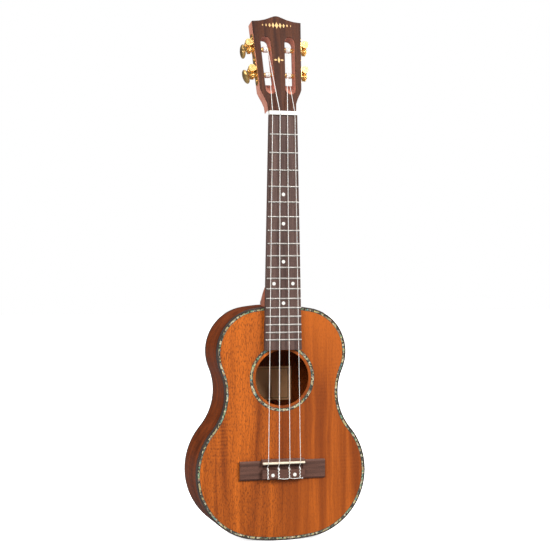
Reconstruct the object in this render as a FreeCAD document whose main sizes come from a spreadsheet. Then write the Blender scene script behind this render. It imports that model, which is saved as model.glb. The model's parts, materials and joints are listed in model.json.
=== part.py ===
"""Tenor ukulele with a slotted head and four worm-geared tuners, as a FreeCAD document.

Row frame, millimetres: +Z up the neck, the playing face towards -Y, +X to the right of someone
facing the instrument. The origin is under the tail, centred on the bounding box. Most pieces are
drawn in the face frame, whose y is the depth behind the soundboard's face.
"""
import FreeCAD, Part
import Sketcher
import math
import os

from FreeCAD import Placement, Rotation, Vector

DIMENSIONS = {
    # whole instrument
    "face_y": -30.93, "scale_length": 431.8, "bridge_line_z": 97.5, "cut_reach": 500,
    # body outline: arcs that run into each other, tail to shoulder
    "body_length": 292.15, "lower_half": 109.28, "lower_z": 84.54, "lower_radius": 82.69,
    "upper_half": 83.5, "upper_z": 234.0, "upper_radius": 55.72, "waist_radius": 71.11,
    "depth_tail": 73.5, "depth_neck": 64.5,
    # plates, rim and edging
    "plate_thick": 2.2, "rim_thick": 1.8, "binding_deep": 5.0, "inlay_deep": 1.5,
    "purfling_wide": 2.2, "line_wide": 0.5, "lining_thick": 5.0, "lining_deep": 12.0,
    # soundhole and rosette
    "hole_z": 202.3, "hole_radius": 34.5, "rosette_inner": 38.3, "rosette_outer": 41.3,
    "rosette_line": 0.6,
    # inside the body
    "block_half": 30.0, "block_thick": 18.0, "brace_wide": 7.0, "brace_tall": 9.0,
    "upper_brace_z": 246.0, "lower_brace_z": 153.0, "transverse_half": 62.0,
    "fan_top": 144.0, "fan_bottom": 38.0, "fan_splay": 24.0, "fan_wide": 5.0,
    "pad_half": 56.0, "pad_low": 71.0, "pad_high": 104.0, "pad_thick": 2.0,
    "label_half": 31.0, "label_low": 168.0, "label_high": 212.0, "label_thick": 0.2,
    # fretboard, frets and dots
    "board_end_z": 237.6, "board_thick": 6.0, "board_end_half": 23.8, "nut_half": 18.0,
    "fret_wide": 2.2, "fret_tall": 1.0, "tang_wide": 0.6, "tang_deep": 2.2,
    "dot_radius": 2.2, "dot_deep": 1.2, "dot_spread": 12.25,
    # neck and heel
    "neck_depth_nut": 14.5, "neck_depth_heel": 18.0, "heel_foot_z": 286.0,
    "heel_deep": 60.5, "cap_thick": 2.0,
    # nut, saddle and bridge
    "nut_thick": 5.0, "nut_front": 8.2, "nut_back": 6.7, "string_nut_y": -7.6, "slot_floor_y": -7.12,
    "slot_half": 0.75, "saddle_z": 97.5, "saddle_thick": 2.7, "saddle_half": 27.0, "saddle_top": 10.5,
    "saddle_seat": 3.2, "saddle_bevel": 0.6, "saddle_fall": 0.9, "saddle_back": 0.8,
    "bridge_low": 76.5, "bridge_high": 100.0, "wing_half": 55.0, "wing_tall": 3.5,
    "centre_half": 27.0, "block_low": 78.0, "block_high": 89.5, "block_tall": 8.0, "bed_low": 94.5,
    "bed_high": 102.0, "bed_tall": 6.5, "channel_floor": 2.6, "tie_y": -4.7, "tie_radius": 0.8,
    "pearl_x": 14.1, "pearl_z": 82.6,
    # strings
    "nut_spacing": 9.6, "saddle_spacing": 13.76, "string_gap": 0.17, "string_bend": 1.6,
    "crown_bend": 0.4, "hole_bend": 1.0,
    # head
    "head_tilt": 13.5, "head_y": -1.2, "head_z": 534.6, "head_thick": 17.0, "veneer_thick": 1.2,
    "head_foot_half": 18.0, "head_corner": 28.4, "head_corner_half": 26.8, "head_top": 118.8,
    "head_top_half": 32.1, "head_peak": 126.7, "side_angle": 3.36,
    "slot_start": 22.3, "slot_end": 98.8, "slot_wide": 13.3, "slot_x": 12.6, "slot_angle": 2.6,
    "throat_long": 13.0, "ramp_long": 17.6,
    # tuning machines
    "roller_deep": 8.5, "roller_lower": 49.2, "roller_upper": 83.2, "roller_radius": 2.9,
    "roller_tip": 2.0, "roller_inner_x": 3.2, "run_clearance": 0.05,
    "spool_half": 3.2, "spool_lead": 1.3, "spool_lower": 12.0, "spool_upper": 12.9,
    "machine_plate_thick": 1.0, "machine_plate_low": 35.8, "machine_plate_high": 104.0,
    "machine_plate_half": 7.0, "machine_low": 4.0, "machine_high": 13.0, "neck_half": 3.6,
    "lobe_radius": 5.8, "wheel_low": 4.25, "wheel_thick": 4.0,
    "wheel_centre": 6.25, "wheel_tip": 5.25, "wheel_root": 3.75, "wheel_teeth": 14,
    "tooth_half_root": 0.55, "tooth_half_tip": 0.25, "gear_distance": 8.1,
    "worm_pitch": 2.06, "worm_core": 2.65, "worm_outer": 4.1, "thread_half_root": 0.5,
    "thread_half_tip": 0.2, "worm_turns": 3, "shaft_radius": 1.8, "post_front": 2.0,
    "post_thick": 2.2, "post_radius": 4.75, "rear_post": 12.8, "rear_radius": 3.75,
    "collar_radius": 3.4, "collar_start": 15.15, "collar_end": 20.0,
    "button_centre": 34.5, "button_long": 8.5, "button_wide": 9.25, "button_half": 3.25,
    "button_neck": 2.2, "screw_head": 1.9, "screw_tall": 0.9, "screw_shank": 0.9, "screw_long": 7.0,
    "wheel_screw": 2.4, "wheel_screw_tall": 1.2,
}
FRET_COUNT = 18
HEEL_ROWS = (
    # depth behind the face, half-width, straight side and rise of the rounded end
    ("5", "22.3", "24", "20"),
    ("23", "20.4", "16", "17"),
    ("42", "16.0", "11", "13"),
    ("dims.heel_deep", "11.5", "9", "9.5"),
)
DOT_FRETS = (5, 7, 10, 14)
DOUBLE_DOT_FRET = 12
STRING_RADII = (0.35, 0.43, 0.38, 0.33)
TUNERS = (
    # number, side (-1 left), roller station, button turned from edge-on, degrees
    (1, -1, "roller_lower", -16.0),
    (2, -1, "roller_upper", 0.0),
    (3, 1, "roller_upper", -12.0),
    (4, 1, "roller_lower", 8.0),
)

doc = FreeCAD.newDocument("ukulele")
sheet = doc.addObject("Spreadsheet::Sheet", "dims")
for row, (alias, size) in enumerate(DIMENSIONS.items(), start=1):
    sheet.set(f"A{row}", alias)
    sheet.set(f"B{row}", str(size))
    sheet.setAlias(f"B{row}", alias)
doc.recompute()
nodes = []


def number(expression):
    """Value of an expression over the sheet's cells."""
    return float(sheet.evalExpression(str(expression)))


def dim(alias):
    """Value of one cell."""
    return float(sheet.get(alias))


# ---------------------------------------------------------------- bodies, sketches and features

def new_body(label, place="face"):
    """A PartDesign body: 'face' is drawn behind the soundboard's face, 'head' on the tilted head."""
    body = doc.addObject("PartDesign::Body", label)
    body.Label = label
    body.AllowCompound = True
    seat(body, place)
    nodes.append(body)
    return body


def seat(thing, place):
    """Set a piece in the row frame."""
    if place == "head":
        thing.Placement = Placement(Vector(), Rotation(Vector(1, 0, 0), -1))
        thing.setExpression("Placement.Rotation.Angle", "-dims.head_tilt")
        thing.setExpression("Placement.Base.y", "dims.face_y + dims.head_y")
        thing.setExpression("Placement.Base.z", "dims.head_z")
    else:
        thing.setExpression("Placement.Base.y", "dims.face_y")


def new_sketch(body, name, plane, offset="0"):
    """A sketch on one of the body's own origin planes, moved along its normal."""
    sketch = body.newObject("Sketcher::SketchObject", name)
    support = next(f for f in body.Origin.OriginFeatures if f.Role == plane)
    sketch.AttachmentSupport = [(support, "")]
    sketch.MapMode = "FlatFace"
    sketch.setExpression("AttachmentOffset.Base.z", str(offset))
    return sketch


def hold(sketch, kind, expression, *where):
    """Add one dimension that follows an expression."""
    index = sketch.addConstraint(Sketcher.Constraint(kind, *where, number(expression)))
    sketch.setExpression(f"Constraints[{index}]", str(expression))


def hold_point(sketch, geometry, position, x, y):
    """Hold one point at two distances from the sketch's origin."""
    hold(sketch, "DistanceX", x, -1, 1, geometry, position)
    hold(sketch, "DistanceY", y, -1, 1, geometry, position)


def polygon(sketch, corners):
    """A closed run of lines through corners given as pairs of expressions."""
    points = [Vector(number(x), number(y), 0) for x, y in corners]
    first = sketch.GeometryCount
    count = len(points)
    for i in range(count):
        sketch.addGeometry(Part.LineSegment(points[i], points[(i + 1) % count]), False)
    for i in range(count):
        joint = (first + i, 2, first + (i + 1) % count, 1)
        sketch.addConstraint(Sketcher.Constraint("Coincident", *joint))
        hold_point(sketch, first + i, 1, *corners[i])


def rectangle(sketch, x_low, x_high, y_low, y_high):
    """A rectangle from its four sides."""
    polygon(sketch, [(x_low, y_low), (x_high, y_low), (x_high, y_high), (x_low, y_high)])


def circle(sketch, x, y, radius):
    """A circle held by its centre and radius."""
    shape = Part.Circle(Vector(number(x), number(y), 0), Vector(0, 0, 1), number(radius))
    index = sketch.addGeometry(shape, False)
    hold_point(sketch, index, 3, x, y)
    hold(sketch, "Radius", radius, index)


def segment(sketch, half_width, height, base="0"):
    """A straight chord across the y axis and the arc that rises to a height above it."""
    half, tall, low = number(half_width), number(height), number(base)
    left, right, top = Vector(-half, low, 0), Vector(half, low, 0), Vector(0, low + tall, 0)
    chord = sketch.addGeometry(Part.LineSegment(left, right), False)
    arc = sketch.addGeometry(Part.Arc(right, top, left), False)
    sketch.addConstraint(Sketcher.Constraint("Coincident", chord, 2, arc, 1))
    sketch.addConstraint(Sketcher.Constraint("Coincident", chord, 1, arc, 2))
    hold_point(sketch, chord, 1, f"-({half_width})", base)
    hold_point(sketch, chord, 2, half_width, base)
    hold(sketch, "Radius", f"(({half_width})^2 + ({height})^2) / (2 * ({height}))", arc)


def tongue(sketch, half_width, straight, rise):
    """A chord inside the body, two straight sides up from it and an arc over them."""
    half, low = number(half_width), dim("heel_foot_z")
    high, tall = low + number(straight), number(rise)
    corners = [Vector(-half, low, 0), Vector(half, low, 0), Vector(half, high, 0), Vector(-half, high, 0)]
    lines = [sketch.addGeometry(Part.LineSegment(corners[i], corners[(i + 1) % 4]), False)
             for i in (3, 0, 1)]
    arc = sketch.addGeometry(Part.Arc(corners[2], Vector(0, high + tall, 0), corners[3]), False)
    for one, other in ((lines[0], lines[1]), (lines[1], lines[2]), (lines[2], arc), (arc, lines[0])):
        sketch.addConstraint(Sketcher.Constraint("Coincident", one, 2, other, 1))
    top = f"dims.heel_foot_z + {straight}"
    hold_point(sketch, lines[0], 1, f"-({half_width})", top)
    hold_point(sketch, lines[1], 1, f"-({half_width})", "dims.heel_foot_z")
    hold_point(sketch, lines[2], 1, half_width, "dims.heel_foot_z")
    hold_point(sketch, lines[2], 2, half_width, top)
    hold(sketch, "Radius", f"(({half_width})^2 + ({rise})^2) / (2 * ({rise}))", arc)


def extrude(body, kind, sketch, length, against=False, both=False):
    """Pad or pocket a sketch along its normal, or against it. XZ_Plane's normal points to the front."""
    feature = body.newObject(f"PartDesign::{kind}", f"{sketch.Name}_{kind.lower()}")
    feature.Profile = sketch
    feature.setExpression("Length", str(length))
    if both:
        feature.SideType = "Symmetric"
    elif kind == "Pad":
        feature.Reversed = against
    else:
        feature.Reversed = not against
    return feature


def pad(body, sketch, length, against=False, both=False):
    """Add material along a sketch's normal, or against it."""
    return extrude(body, "Pad", sketch, length, against, both)


def pocket(body, sketch, length, against=False, both=False):
    """Cut along a sketch's normal, or against it, and see that something was cut."""
    doc.recompute()
    before = body.Shape.Volume
    feature = extrude(body, "Pocket", sketch, length, against, both)
    doc.recompute()
    if not body.Shape.Volume < before - 1e-6:
        raise RuntimeError(f"{feature.Name} cuts nothing")
    return feature


# ---------------------------------------------------------------- body outline

def outline_points(inset):
    """Centres, radii and run-in points of the right half of the outline, moved in by inset."""
    length, lower_z, upper_z = dim("body_length"), dim("lower_z"), dim("upper_z")
    lower_x = dim("lower_half") - dim("lower_radius")
    upper_x = dim("upper_half") - dim("upper_radius")
    lower, upper, waist = dim("lower_radius"), dim("upper_radius"), dim("waist_radius")
    tail = (lower_x ** 2 + lower_z ** 2 - lower ** 2) / (2 * (lower_z - lower))
    rise = length - upper_z
    shoulder = (upper_x ** 2 + rise ** 2 - upper ** 2) / (2 * (rise - upper))
    gap_x, gap_z = upper_x - lower_x, upper_z - lower_z
    gap = math.hypot(gap_x, gap_z)
    near, far = lower + waist, upper + waist
    along = (gap ** 2 + near ** 2 - far ** 2) / (2 * gap)
    aside = math.sqrt(near ** 2 - along ** 2)
    waist_x = lower_x + (along * gap_x + aside * gap_z) / gap
    waist_z = lower_z + (along * gap_z - aside * gap_x) / gap
    centres = [Vector(0, tail), Vector(lower_x, lower_z), Vector(waist_x, waist_z),
               Vector(upper_x, upper_z), Vector(0, length - shoulder)]
    radii = [tail - inset, lower - inset, waist + inset, upper - inset, shoulder - inset]
    joints = []
    for i in range(4):
        toward = centres[i + 1] - centres[i]
        toward.normalize()
        sign = -1 if i == 3 else 1
        start = centres[i] + toward * radii[i] * sign
        if i == 0:
            start = centres[1] + (centres[1] - centres[0]).normalize() * radii[1]
        if i == 3:
            start = centres[3] + (centres[3] - centres[4]).normalize() * radii[3]
        joints.append(start)
    return centres, radii, joints


def half_outline(sketch, inset="0", side=1):
    """One closed half of the body outline: the centre line and five arcs that run into each other."""
    centres, radii, joints = outline_points(number(inset))
    low, high = number(inset), dim("body_length") - number(inset)
    stops = [Vector(0, low), *joints, Vector(0, high)]
    mirror = [Vector(side * v.x, v.y) for v in stops]
    spine = sketch.addGeometry(Part.LineSegment(mirror[0], mirror[-1]), False)
    arcs = []
    for i, (centre, radius) in enumerate(zip(centres, radii)):
        middle = (stops[i] + stops[i + 1]) * 0.5 - centre
        middle = centre + middle.normalize() * radius
        through = Vector(side * middle.x, middle.y)
        arcs.append(sketch.addGeometry(Part.Arc(mirror[i], through, mirror[i + 1]), False))
    # arcs are stored counter-clockwise, so which end comes first depends on the way each one bends
    first = {0: 1, 1: 1, 2: 2, 3: 1, 4: 1}
    start = [first[i] if side > 0 else 3 - first[i] for i in range(5)]
    end = [3 - s for s in start]
    sketch.addConstraint(Sketcher.Constraint("Coincident", spine, 1, arcs[0], start[0]))
    sketch.addConstraint(Sketcher.Constraint("Coincident", spine, 2, arcs[4], end[4]))
    for i in range(4):
        joint = (arcs[i], end[i], arcs[i + 1], start[i + 1])
        sketch.addConstraint(Sketcher.Constraint("Tangent", *joint))
    hold_point(sketch, spine, 1, "0", inset)
    hold_point(sketch, spine, 2, "0", f"dims.body_length - ({inset})")
    for end_arc in (arcs[0], arcs[4]):
        sketch.addConstraint(Sketcher.Constraint("PointOnObject", end_arc, 3, -2))
    for arc, name in ((arcs[1], "lower"), (arcs[3], "upper")):
        x = f"{side} * (dims.{name}_half - dims.{name}_radius)"
        hold_point(sketch, arc, 3, x, f"dims.{name}_z")
        hold(sketch, "Radius", f"dims.{name}_radius - ({inset})", arc)
    hold(sketch, "Radius", f"dims.waist_radius + ({inset})", arcs[2])


def add_outline(body, name, inset, front, length, side):
    """Pad half of the outline, front being the depth of its front face."""
    sketch = new_sketch(body, name, "XZ_Plane", f"-({front})")
    half_outline(sketch, inset, side)
    pad(body, sketch, length, against=True)


def cut_outline(body, name, inset, front, length, side):
    """Cut half of the outline out of a body."""
    sketch = new_sketch(body, name, "XZ_Plane", f"-({front})")
    half_outline(sketch, inset, side)
    pocket(body, sketch, length, against=True)


def whole_plate(body, name, inset, front, length):
    """Both halves of the outline, as a plate."""
    for side, tag in ((1, "right"), (-1, "left")):
        add_outline(body, f"{name}_{tag}", inset, front, length, side)


def whole_cut(body, name, inset, front, length):
    """Both halves of the outline, taken away."""
    for side, tag in ((1, "right"), (-1, "left")):
        cut_outline(body, f"{name}_{tag}", inset, front, length, side)


def back_depth(z, in_front):
    """Depth of a plane parallel to the back at height z, in_front of the back's outer face."""
    slope = "(dims.depth_tail - dims.depth_neck) / dims.body_length"
    return f"dims.depth_tail - {slope} * ({z}) - ({in_front}) * sqrt(1 + ({slope})^2)"


def trim_behind(body, name, in_front="0"):
    """Cut away what lies behind a plane parallel to the back."""
    sketch = new_sketch(body, name, "YZ_Plane")
    polygon(sketch, [(back_depth("-20", in_front), "-20"), ("200", "-20"), ("200", "400"),
                     (back_depth("400", in_front), "400")])
    pocket(body, sketch, "dims.cut_reach", both=True)


def trim_before(body, name, in_front):
    """Cut away what lies in front of a plane parallel to the back."""
    sketch = new_sketch(body, name, "YZ_Plane")
    polygon(sketch, [(back_depth("-20", in_front), "-20"), (back_depth("400", in_front), "400"),
                     ("-50", "400"), ("-50", "-20")])
    pocket(body, sketch, "dims.cut_reach", both=True)


# ---------------------------------------------------------------- plates, rim and edging

EDGE = "dims.rim_thick + dims.purfling_wide + dims.line_wide"


def make_soundboard():
    """Top plate, rebated for the edge inlay, with the soundhole and the rosette's channel."""
    body = new_body("soundboard")
    whole_plate(body, "top_inner", EDGE, "0", "dims.plate_thick")
    whole_plate(body, "top_outer", "dims.rim_thick", "dims.inlay_deep",
                "dims.plate_thick - dims.inlay_deep")
    hole = new_sketch(body, "soundhole", "XZ_Plane")
    circle(hole, "0", "dims.hole_z", "dims.hole_radius")
    pocket(body, hole, "dims.plate_thick", against=True)
    channel = new_sketch(body, "rosette_channel", "XZ_Plane")
    circle(channel, "0", "dims.hole_z", "dims.rosette_outer + dims.rosette_line")
    circle(channel, "0", "dims.hole_z", "dims.rosette_inner - dims.rosette_line")
    pocket(body, channel, "dims.inlay_deep", against=True)


def make_back():
    """Flat back plate, sloping forward towards the neck."""
    body = new_body("back_plate")
    whole_plate(body, "back", "dims.rim_thick", "40", "60")
    trim_behind(body, "back_outside")
    trim_before(body, "back_inside", "dims.plate_thick")


def make_sides():
    """Two bent sides, split on the centre line, between the two bindings."""
    for side, name in ((-1, "side_left"), (1, "side_right")):
        body = new_body(name)
        add_outline(body, f"{name}_out", "0", "dims.binding_deep", "90", side)
        cut_outline(body, f"{name}_in", "dims.rim_thick", "0", "120", side)
        trim_behind(body, f"{name}_edge", "dims.binding_deep")


def make_ring(name, outer, inner, front, length):
    """A flat ring that follows the outline."""
    body = new_body(name)
    whole_plate(body, f"{name}_out", outer, front, length)
    whole_cut(body, f"{name}_in", inner, f"({front}) - 1", f"({length}) + 2")
    return body


def make_edging():
    """Bindings on both edges, and the shell strip and dark line let into the top."""
    make_ring("front_binding", "0", "dims.rim_thick", "0", "dims.binding_deep")
    back = make_ring("back_binding", "0", "dims.rim_thick", "40", "60")
    trim_behind(back, "back_binding_outside")
    trim_before(back, "back_binding_inside", "dims.binding_deep")
    shell = "dims.rim_thick + dims.purfling_wide"
    make_ring("front_purfling", "dims.rim_thick", shell, "0", "dims.inlay_deep")
    lines = make_ring("dark_lines", shell, EDGE, "0", "dims.inlay_deep")
    for edge in ("dims.rosette_outer", "dims.rosette_inner - dims.rosette_line"):
        ring = new_sketch(lines, f"line_{edge[13:18]}", "XZ_Plane")
        circle(ring, "0", "dims.hole_z", f"{edge} + dims.rosette_line")
        circle(ring, "0", "dims.hole_z", edge)
        pad(lines, ring, "dims.inlay_deep", against=True)


def make_rosette():
    """Shell ring round the soundhole."""
    body = new_body("rosette")
    ring = new_sketch(body, "rosette_ring", "XZ_Plane")
    circle(ring, "0", "dims.hole_z", "dims.rosette_outer")
    circle(ring, "0", "dims.hole_z", "dims.rosette_inner")
    pad(body, ring, "dims.inlay_deep", against=True)


# ---------------------------------------------------------------- inside the body

def make_linings():
    """Strips that join the sides to the two plates, stopping at the end blocks."""
    inner = "dims.rim_thick + dims.lining_thick"
    front = make_ring("front_lining", "dims.rim_thick", inner, "dims.plate_thick", "dims.lining_deep")
    back = make_ring("back_lining", "dims.rim_thick", inner, "35", "60")
    trim_behind(back, "back_lining_outside", "dims.plate_thick")
    trim_before(back, "back_lining_inside", "dims.plate_thick + dims.lining_deep")
    for body, tag in ((front, "front"), (back, "back")):
        for low, high, end in (("-5", "25", "tail"), ("270", "300", "neck")):
            gap = new_sketch(body, f"{tag}_{end}_gap", "XZ_Plane")
            rectangle(gap, "-dims.block_half - 0.1", "dims.block_half + 0.1", low, high)
            pocket(body, gap, "120", against=True)


def make_blocks():
    """Neck block and tail block, shaped to the inside of the sides."""
    spans = (("neck_block", "dims.body_length - dims.block_thick - dims.rim_thick", "300"),
             ("tail_block", "-5", "dims.block_thick + dims.rim_thick"))
    for name, low, high in spans:
        body = new_body(name)
        whole_plate(body, name, "dims.rim_thick", "dims.plate_thick", "90")
        above = new_sketch(body, f"{name}_above", "XZ_Plane")
        if name == "neck_block":
            rectangle(above, "-150", "150", "-5", low)
        else:
            rectangle(above, "-150", "150", high, "320")
        pocket(body, above, "120", against=True)
        for side, tag in ((1, "right"), (-1, "left")):
            flank = new_sketch(body, f"{name}_{tag}_flank", "XZ_Plane")
            edges = sorted((f"{side} * dims.block_half", f"{side} * 150"), key=number)
            rectangle(flank, *edges, "-5", "320")
            pocket(body, flank, "120", against=True)
        trim_behind(body, f"{name}_back", "dims.plate_thick")


def make_soundboard_braces():
    """Two cross braces and three fanned braces, notched over the bridge pad."""
    body = new_body("soundboard_braces")
    cross = new_sketch(body, "cross_braces", "XZ_Plane", "-dims.plate_thick")
    for height in ("dims.upper_brace_z", "dims.lower_brace_z"):
        rectangle(cross, "-dims.transverse_half", "dims.transverse_half",
                  f"{height} - dims.brace_wide / 2", f"{height} + dims.brace_wide / 2")
    pad(body, cross, "dims.brace_tall", against=True)
    fan = new_sketch(body, "fan_braces", "XZ_Plane", "-dims.plate_thick")
    for side in (-1, 0, 1):
        top, foot = f"{side} * dims.fan_splay * 0.6", f"{side} * dims.fan_splay * 1.6"
        half = "dims.fan_wide / 2"
        polygon(fan, [(f"{foot} - {half}", "dims.fan_bottom"), (f"{foot} + {half}", "dims.fan_bottom"),
                      (f"{top} + {half}", "dims.fan_top"), (f"{top} - {half}", "dims.fan_top")])
    pad(body, fan, "dims.brace_tall * 0.7", against=True)
    notch = new_sketch(body, "pad_notch", "XZ_Plane", "-dims.plate_thick")
    rectangle(notch, "-dims.pad_half", "dims.pad_half", "dims.pad_low", "dims.pad_high")
    pocket(body, notch, "dims.pad_thick", against=True)


def make_bridge_pad():
    """Thin hardwood pad under the bridge."""
    body = new_body("bridge_pad")
    sketch = new_sketch(body, "pad_outline", "XZ_Plane", "-dims.plate_thick")
    rectangle(sketch, "-dims.pad_half", "dims.pad_half", "dims.pad_low", "dims.pad_high")
    pad(body, sketch, "dims.pad_thick", against=True)


def make_back_braces():
    """Three cross braces on the inside of the back."""
    body = new_body("back_braces")
    sketch = new_sketch(body, "ladder", "XZ_Plane", "-40")
    for height, half in ((62, 90), (148, 64), (240, 70)):
        rectangle(sketch, str(-half), str(half), f"{height} - dims.brace_wide / 2",
                  f"{height} + dims.brace_wide / 2")
    pad(body, sketch, "50", against=True)
    trim_behind(body, "ladder_foot", "dims.plate_thick")
    trim_before(body, "ladder_top", "dims.plate_thick + dims.brace_tall")


def make_label():
    """Blank paper label on the inside of the back, under the soundhole."""
    body = new_body("label")
    sketch = new_sketch(body, "label_outline", "XZ_Plane", "-40")
    rectangle(sketch, "-dims.label_half", "dims.label_half", "dims.label_low", "dims.label_high")
    pad(body, sketch, "50", against=True)
    trim_behind(body, "label_back", "dims.plate_thick")
    trim_before(body, "label_front", "dims.plate_thick + dims.label_thick")


# ---------------------------------------------------------------- neck, fretboard and frets

def board_half(z):
    """Half-width of the fretboard at height z."""
    top = "dims.bridge_line_z + dims.scale_length"
    taper = f"(dims.board_end_half - dims.nut_half) / ({top} - dims.board_end_z)"
    return f"dims.nut_half + ({taper}) * ({top} - ({z}))"


def fret_z(fret):
    """Height of a fret's centre line; fret 0 is the nut's front edge."""
    return f"dims.bridge_line_z + dims.scale_length * 2^(-{fret} / 12)"


def make_neck():
    """Neck shaft and heel, cut to the shoulder's curve and to the foot of the tilted head."""
    body = new_body("neck")
    foot, top = "285", "dims.head_z + 8"
    shaft = body.newObject("PartDesign::AdditiveLoft", "shaft")
    sections = []
    for name, z, depth in (("shaft_foot", foot, "dims.neck_depth_heel"),
                           ("shaft_top", top, "dims.neck_depth_nut")):
        section = new_sketch(body, name, "XY_Plane", z)
        segment(section, board_half(z), depth)
        sections.append(section)
    shaft.Profile = sections[0]
    shaft.Sections = sections[1:]
    shaft.Ruled = True
    heel = body.newObject("PartDesign::AdditiveLoft", "heel")
    layers = []
    for i, row in enumerate(HEEL_ROWS):
        layer = new_sketch(body, f"heel_{i}", "XZ_Plane", f"-({row[0]})")
        tongue(layer, *row[1:])
        layers.append(layer)
    heel.Profile = layers[0]
    heel.Sections = layers[1:]
    seat_cut = new_sketch(body, "shoulder_curve", "XZ_Plane", "20")
    upper_x = "(dims.upper_half - dims.upper_radius)"
    rise = "(dims.body_length - dims.upper_z)"
    shoulder = (f"({upper_x}^2 + {rise}^2 - dims.upper_radius^2)"
                f" / (2 * ({rise} - dims.upper_radius))")
    circle(seat_cut, "0", f"dims.body_length - {shoulder}", shoulder)
    pocket(body, seat_cut, "120", against=True)
    end_cut = new_sketch(body, "head_joint", "YZ_Plane")
    lean = "tan(dims.head_tilt * 1deg)"
    polygon(end_cut, [("dims.head_y - 20", f"dims.head_z + 20 * {lean}"),
                      ("dims.head_y + 60", f"dims.head_z - 60 * {lean}"),
                      ("dims.head_y + 60", "dims.head_z + 60"), ("dims.head_y - 20", "dims.head_z + 60")])
    pocket(body, end_cut, "dims.cut_reach", both=True)


def make_heel_cap():
    """Dark cap on the end of the heel."""
    body = new_body("heel_cap")
    sketch = new_sketch(body, "cap_outline", "XZ_Plane", "-dims.heel_deep")
    tongue(sketch, *HEEL_ROWS[-1][1:])
    pad(body, sketch, "dims.cap_thick", against=True)
    inside = new_sketch(body, "cap_seat", "XZ_Plane", "-dims.heel_deep + 1")
    rectangle(inside, "-20", "20", "280", "dims.body_length")
    pocket(body, inside, "dims.cap_thick + 2", against=True)


def make_fretboard():
    """Tapered board with fret slots and seats for the dots."""
    body = new_body("fretboard")
    top = fret_z(0)
    plan = new_sketch(body, "board_plan", "XZ_Plane")
    polygon(plan, [("-dims.board_end_half", "dims.board_end_z"), ("dims.board_end_half", "dims.board_end_z"),
                   ("dims.nut_half", top), ("-dims.nut_half", top)])
    pad(body, plan, "dims.board_thick")
    slots = new_sketch(body, "fret_slots", "XZ_Plane", "dims.board_thick")
    for fret in range(1, FRET_COUNT + 1):
        rectangle(slots, "-30", "30", f"{fret_z(fret)} - dims.tang_wide / 2",
                  f"{fret_z(fret)} + dims.tang_wide / 2")
    pocket(body, slots, "dims.tang_deep", against=True)
    seats = new_sketch(body, "dot_seats", "XZ_Plane", "dims.board_thick")
    draw_dots(seats)
    pocket(body, seats, "dims.dot_deep", against=True)


def draw_dots(sketch):
    """Circles of the position dots."""
    places = [("0", fret) for fret in DOT_FRETS]
    places += [("-dims.dot_spread", DOUBLE_DOT_FRET), ("dims.dot_spread", DOUBLE_DOT_FRET)]
    for x, fret in places:
        circle(sketch, x, f"(({fret_z(fret - 1)}) + ({fret_z(fret)})) / 2", "dims.dot_radius")


def make_dots():
    """Round pearl position dots, flush with the board."""
    body = new_body("position_dots")
    sketch = new_sketch(body, "dots", "XZ_Plane", "dims.board_thick")
    draw_dots(sketch)
    pad(body, sketch, "dims.dot_deep", against=True)


def make_frets():
    """Fret wires: a low crown on the board and a tang in each slot."""
    body = new_body("frets")
    for fret in range(1, FRET_COUNT + 1):
        z = fret_z(fret)
        tang = new_sketch(body, f"tang_{fret}", "YZ_Plane")
        rectangle(tang, "-dims.board_thick", "-dims.board_thick + dims.tang_deep",
                  f"{z} - dims.tang_wide / 2", f"{z} + dims.tang_wide / 2")
        pad(body, tang, f"2 * ({board_half(z)}) - 1", both=True)
        crown = new_sketch(body, f"crown_{fret}", "YZ_Plane")
        draw_crown(crown, z)
        pad(body, crown, f"2 * ({board_half(z)}) - 0.6", both=True)


def draw_crown(sketch, z):
    """Domed cross-section of a fret above the board."""
    low, high, middle = number(f"{z} - dims.fret_wide / 2"), number(f"{z} + dims.fret_wide / 2"), number(z)
    face = -dim("board_thick")
    foot, head = Vector(face, low, 0), Vector(face, high, 0)
    top = Vector(face - dim("fret_tall"), middle, 0)
    line = sketch.addGeometry(Part.LineSegment(foot, head), False)
    arc = sketch.addGeometry(Part.Arc(head, top, foot), False)
    sketch.addConstraint(Sketcher.Constraint("Coincident", line, 2, arc, 1))
    sketch.addConstraint(Sketcher.Constraint("Coincident", line, 1, arc, 2))
    hold_point(sketch, line, 1, "-dims.board_thick", f"{z} - dims.fret_wide / 2")
    hold_point(sketch, line, 2, "-dims.board_thick", f"{z} + dims.fret_wide / 2")
    hold(sketch, "Radius", "(dims.fret_wide^2 / 4 + dims.fret_tall^2) / (2 * dims.fret_tall)", arc)


# ---------------------------------------------------------------- nut, saddle and bridge

def string_x(number_from_left, spacing):
    """Sideways place of a string counted 1 to 4 from the left."""
    return f"({number_from_left} - 2.5) * dims.{spacing}"


def make_nut():
    """Nut with four slots that fall away towards the head."""
    body = new_body("nut")
    front, back = fret_z(0), f"{fret_z(0)} + dims.nut_thick"
    profile = new_sketch(body, "nut_profile", "YZ_Plane")
    polygon(profile, [("0", front), ("-dims.nut_front", front), ("-dims.nut_front", f"{front} + 1"),
                      ("-dims.nut_back", back), ("0", back)])
    pad(body, profile, "2 * dims.nut_half", both=True)
    for string in range(1, 5):
        slot = new_sketch(body, f"string_slot_{string}", "YZ_Plane", string_x(string, "nut_spacing"))
        polygon(slot, [("dims.slot_floor_y", f"{front} - 1"), ("dims.slot_floor_y", f"{front} + 1.6"),
                       ("dims.slot_floor_y + 2", f"{back} + 1"), ("-20", f"{back} + 1"),
                       ("-20", f"{front} - 1")])
        pocket(body, slot, "2 * dims.slot_half", both=True)


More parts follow.
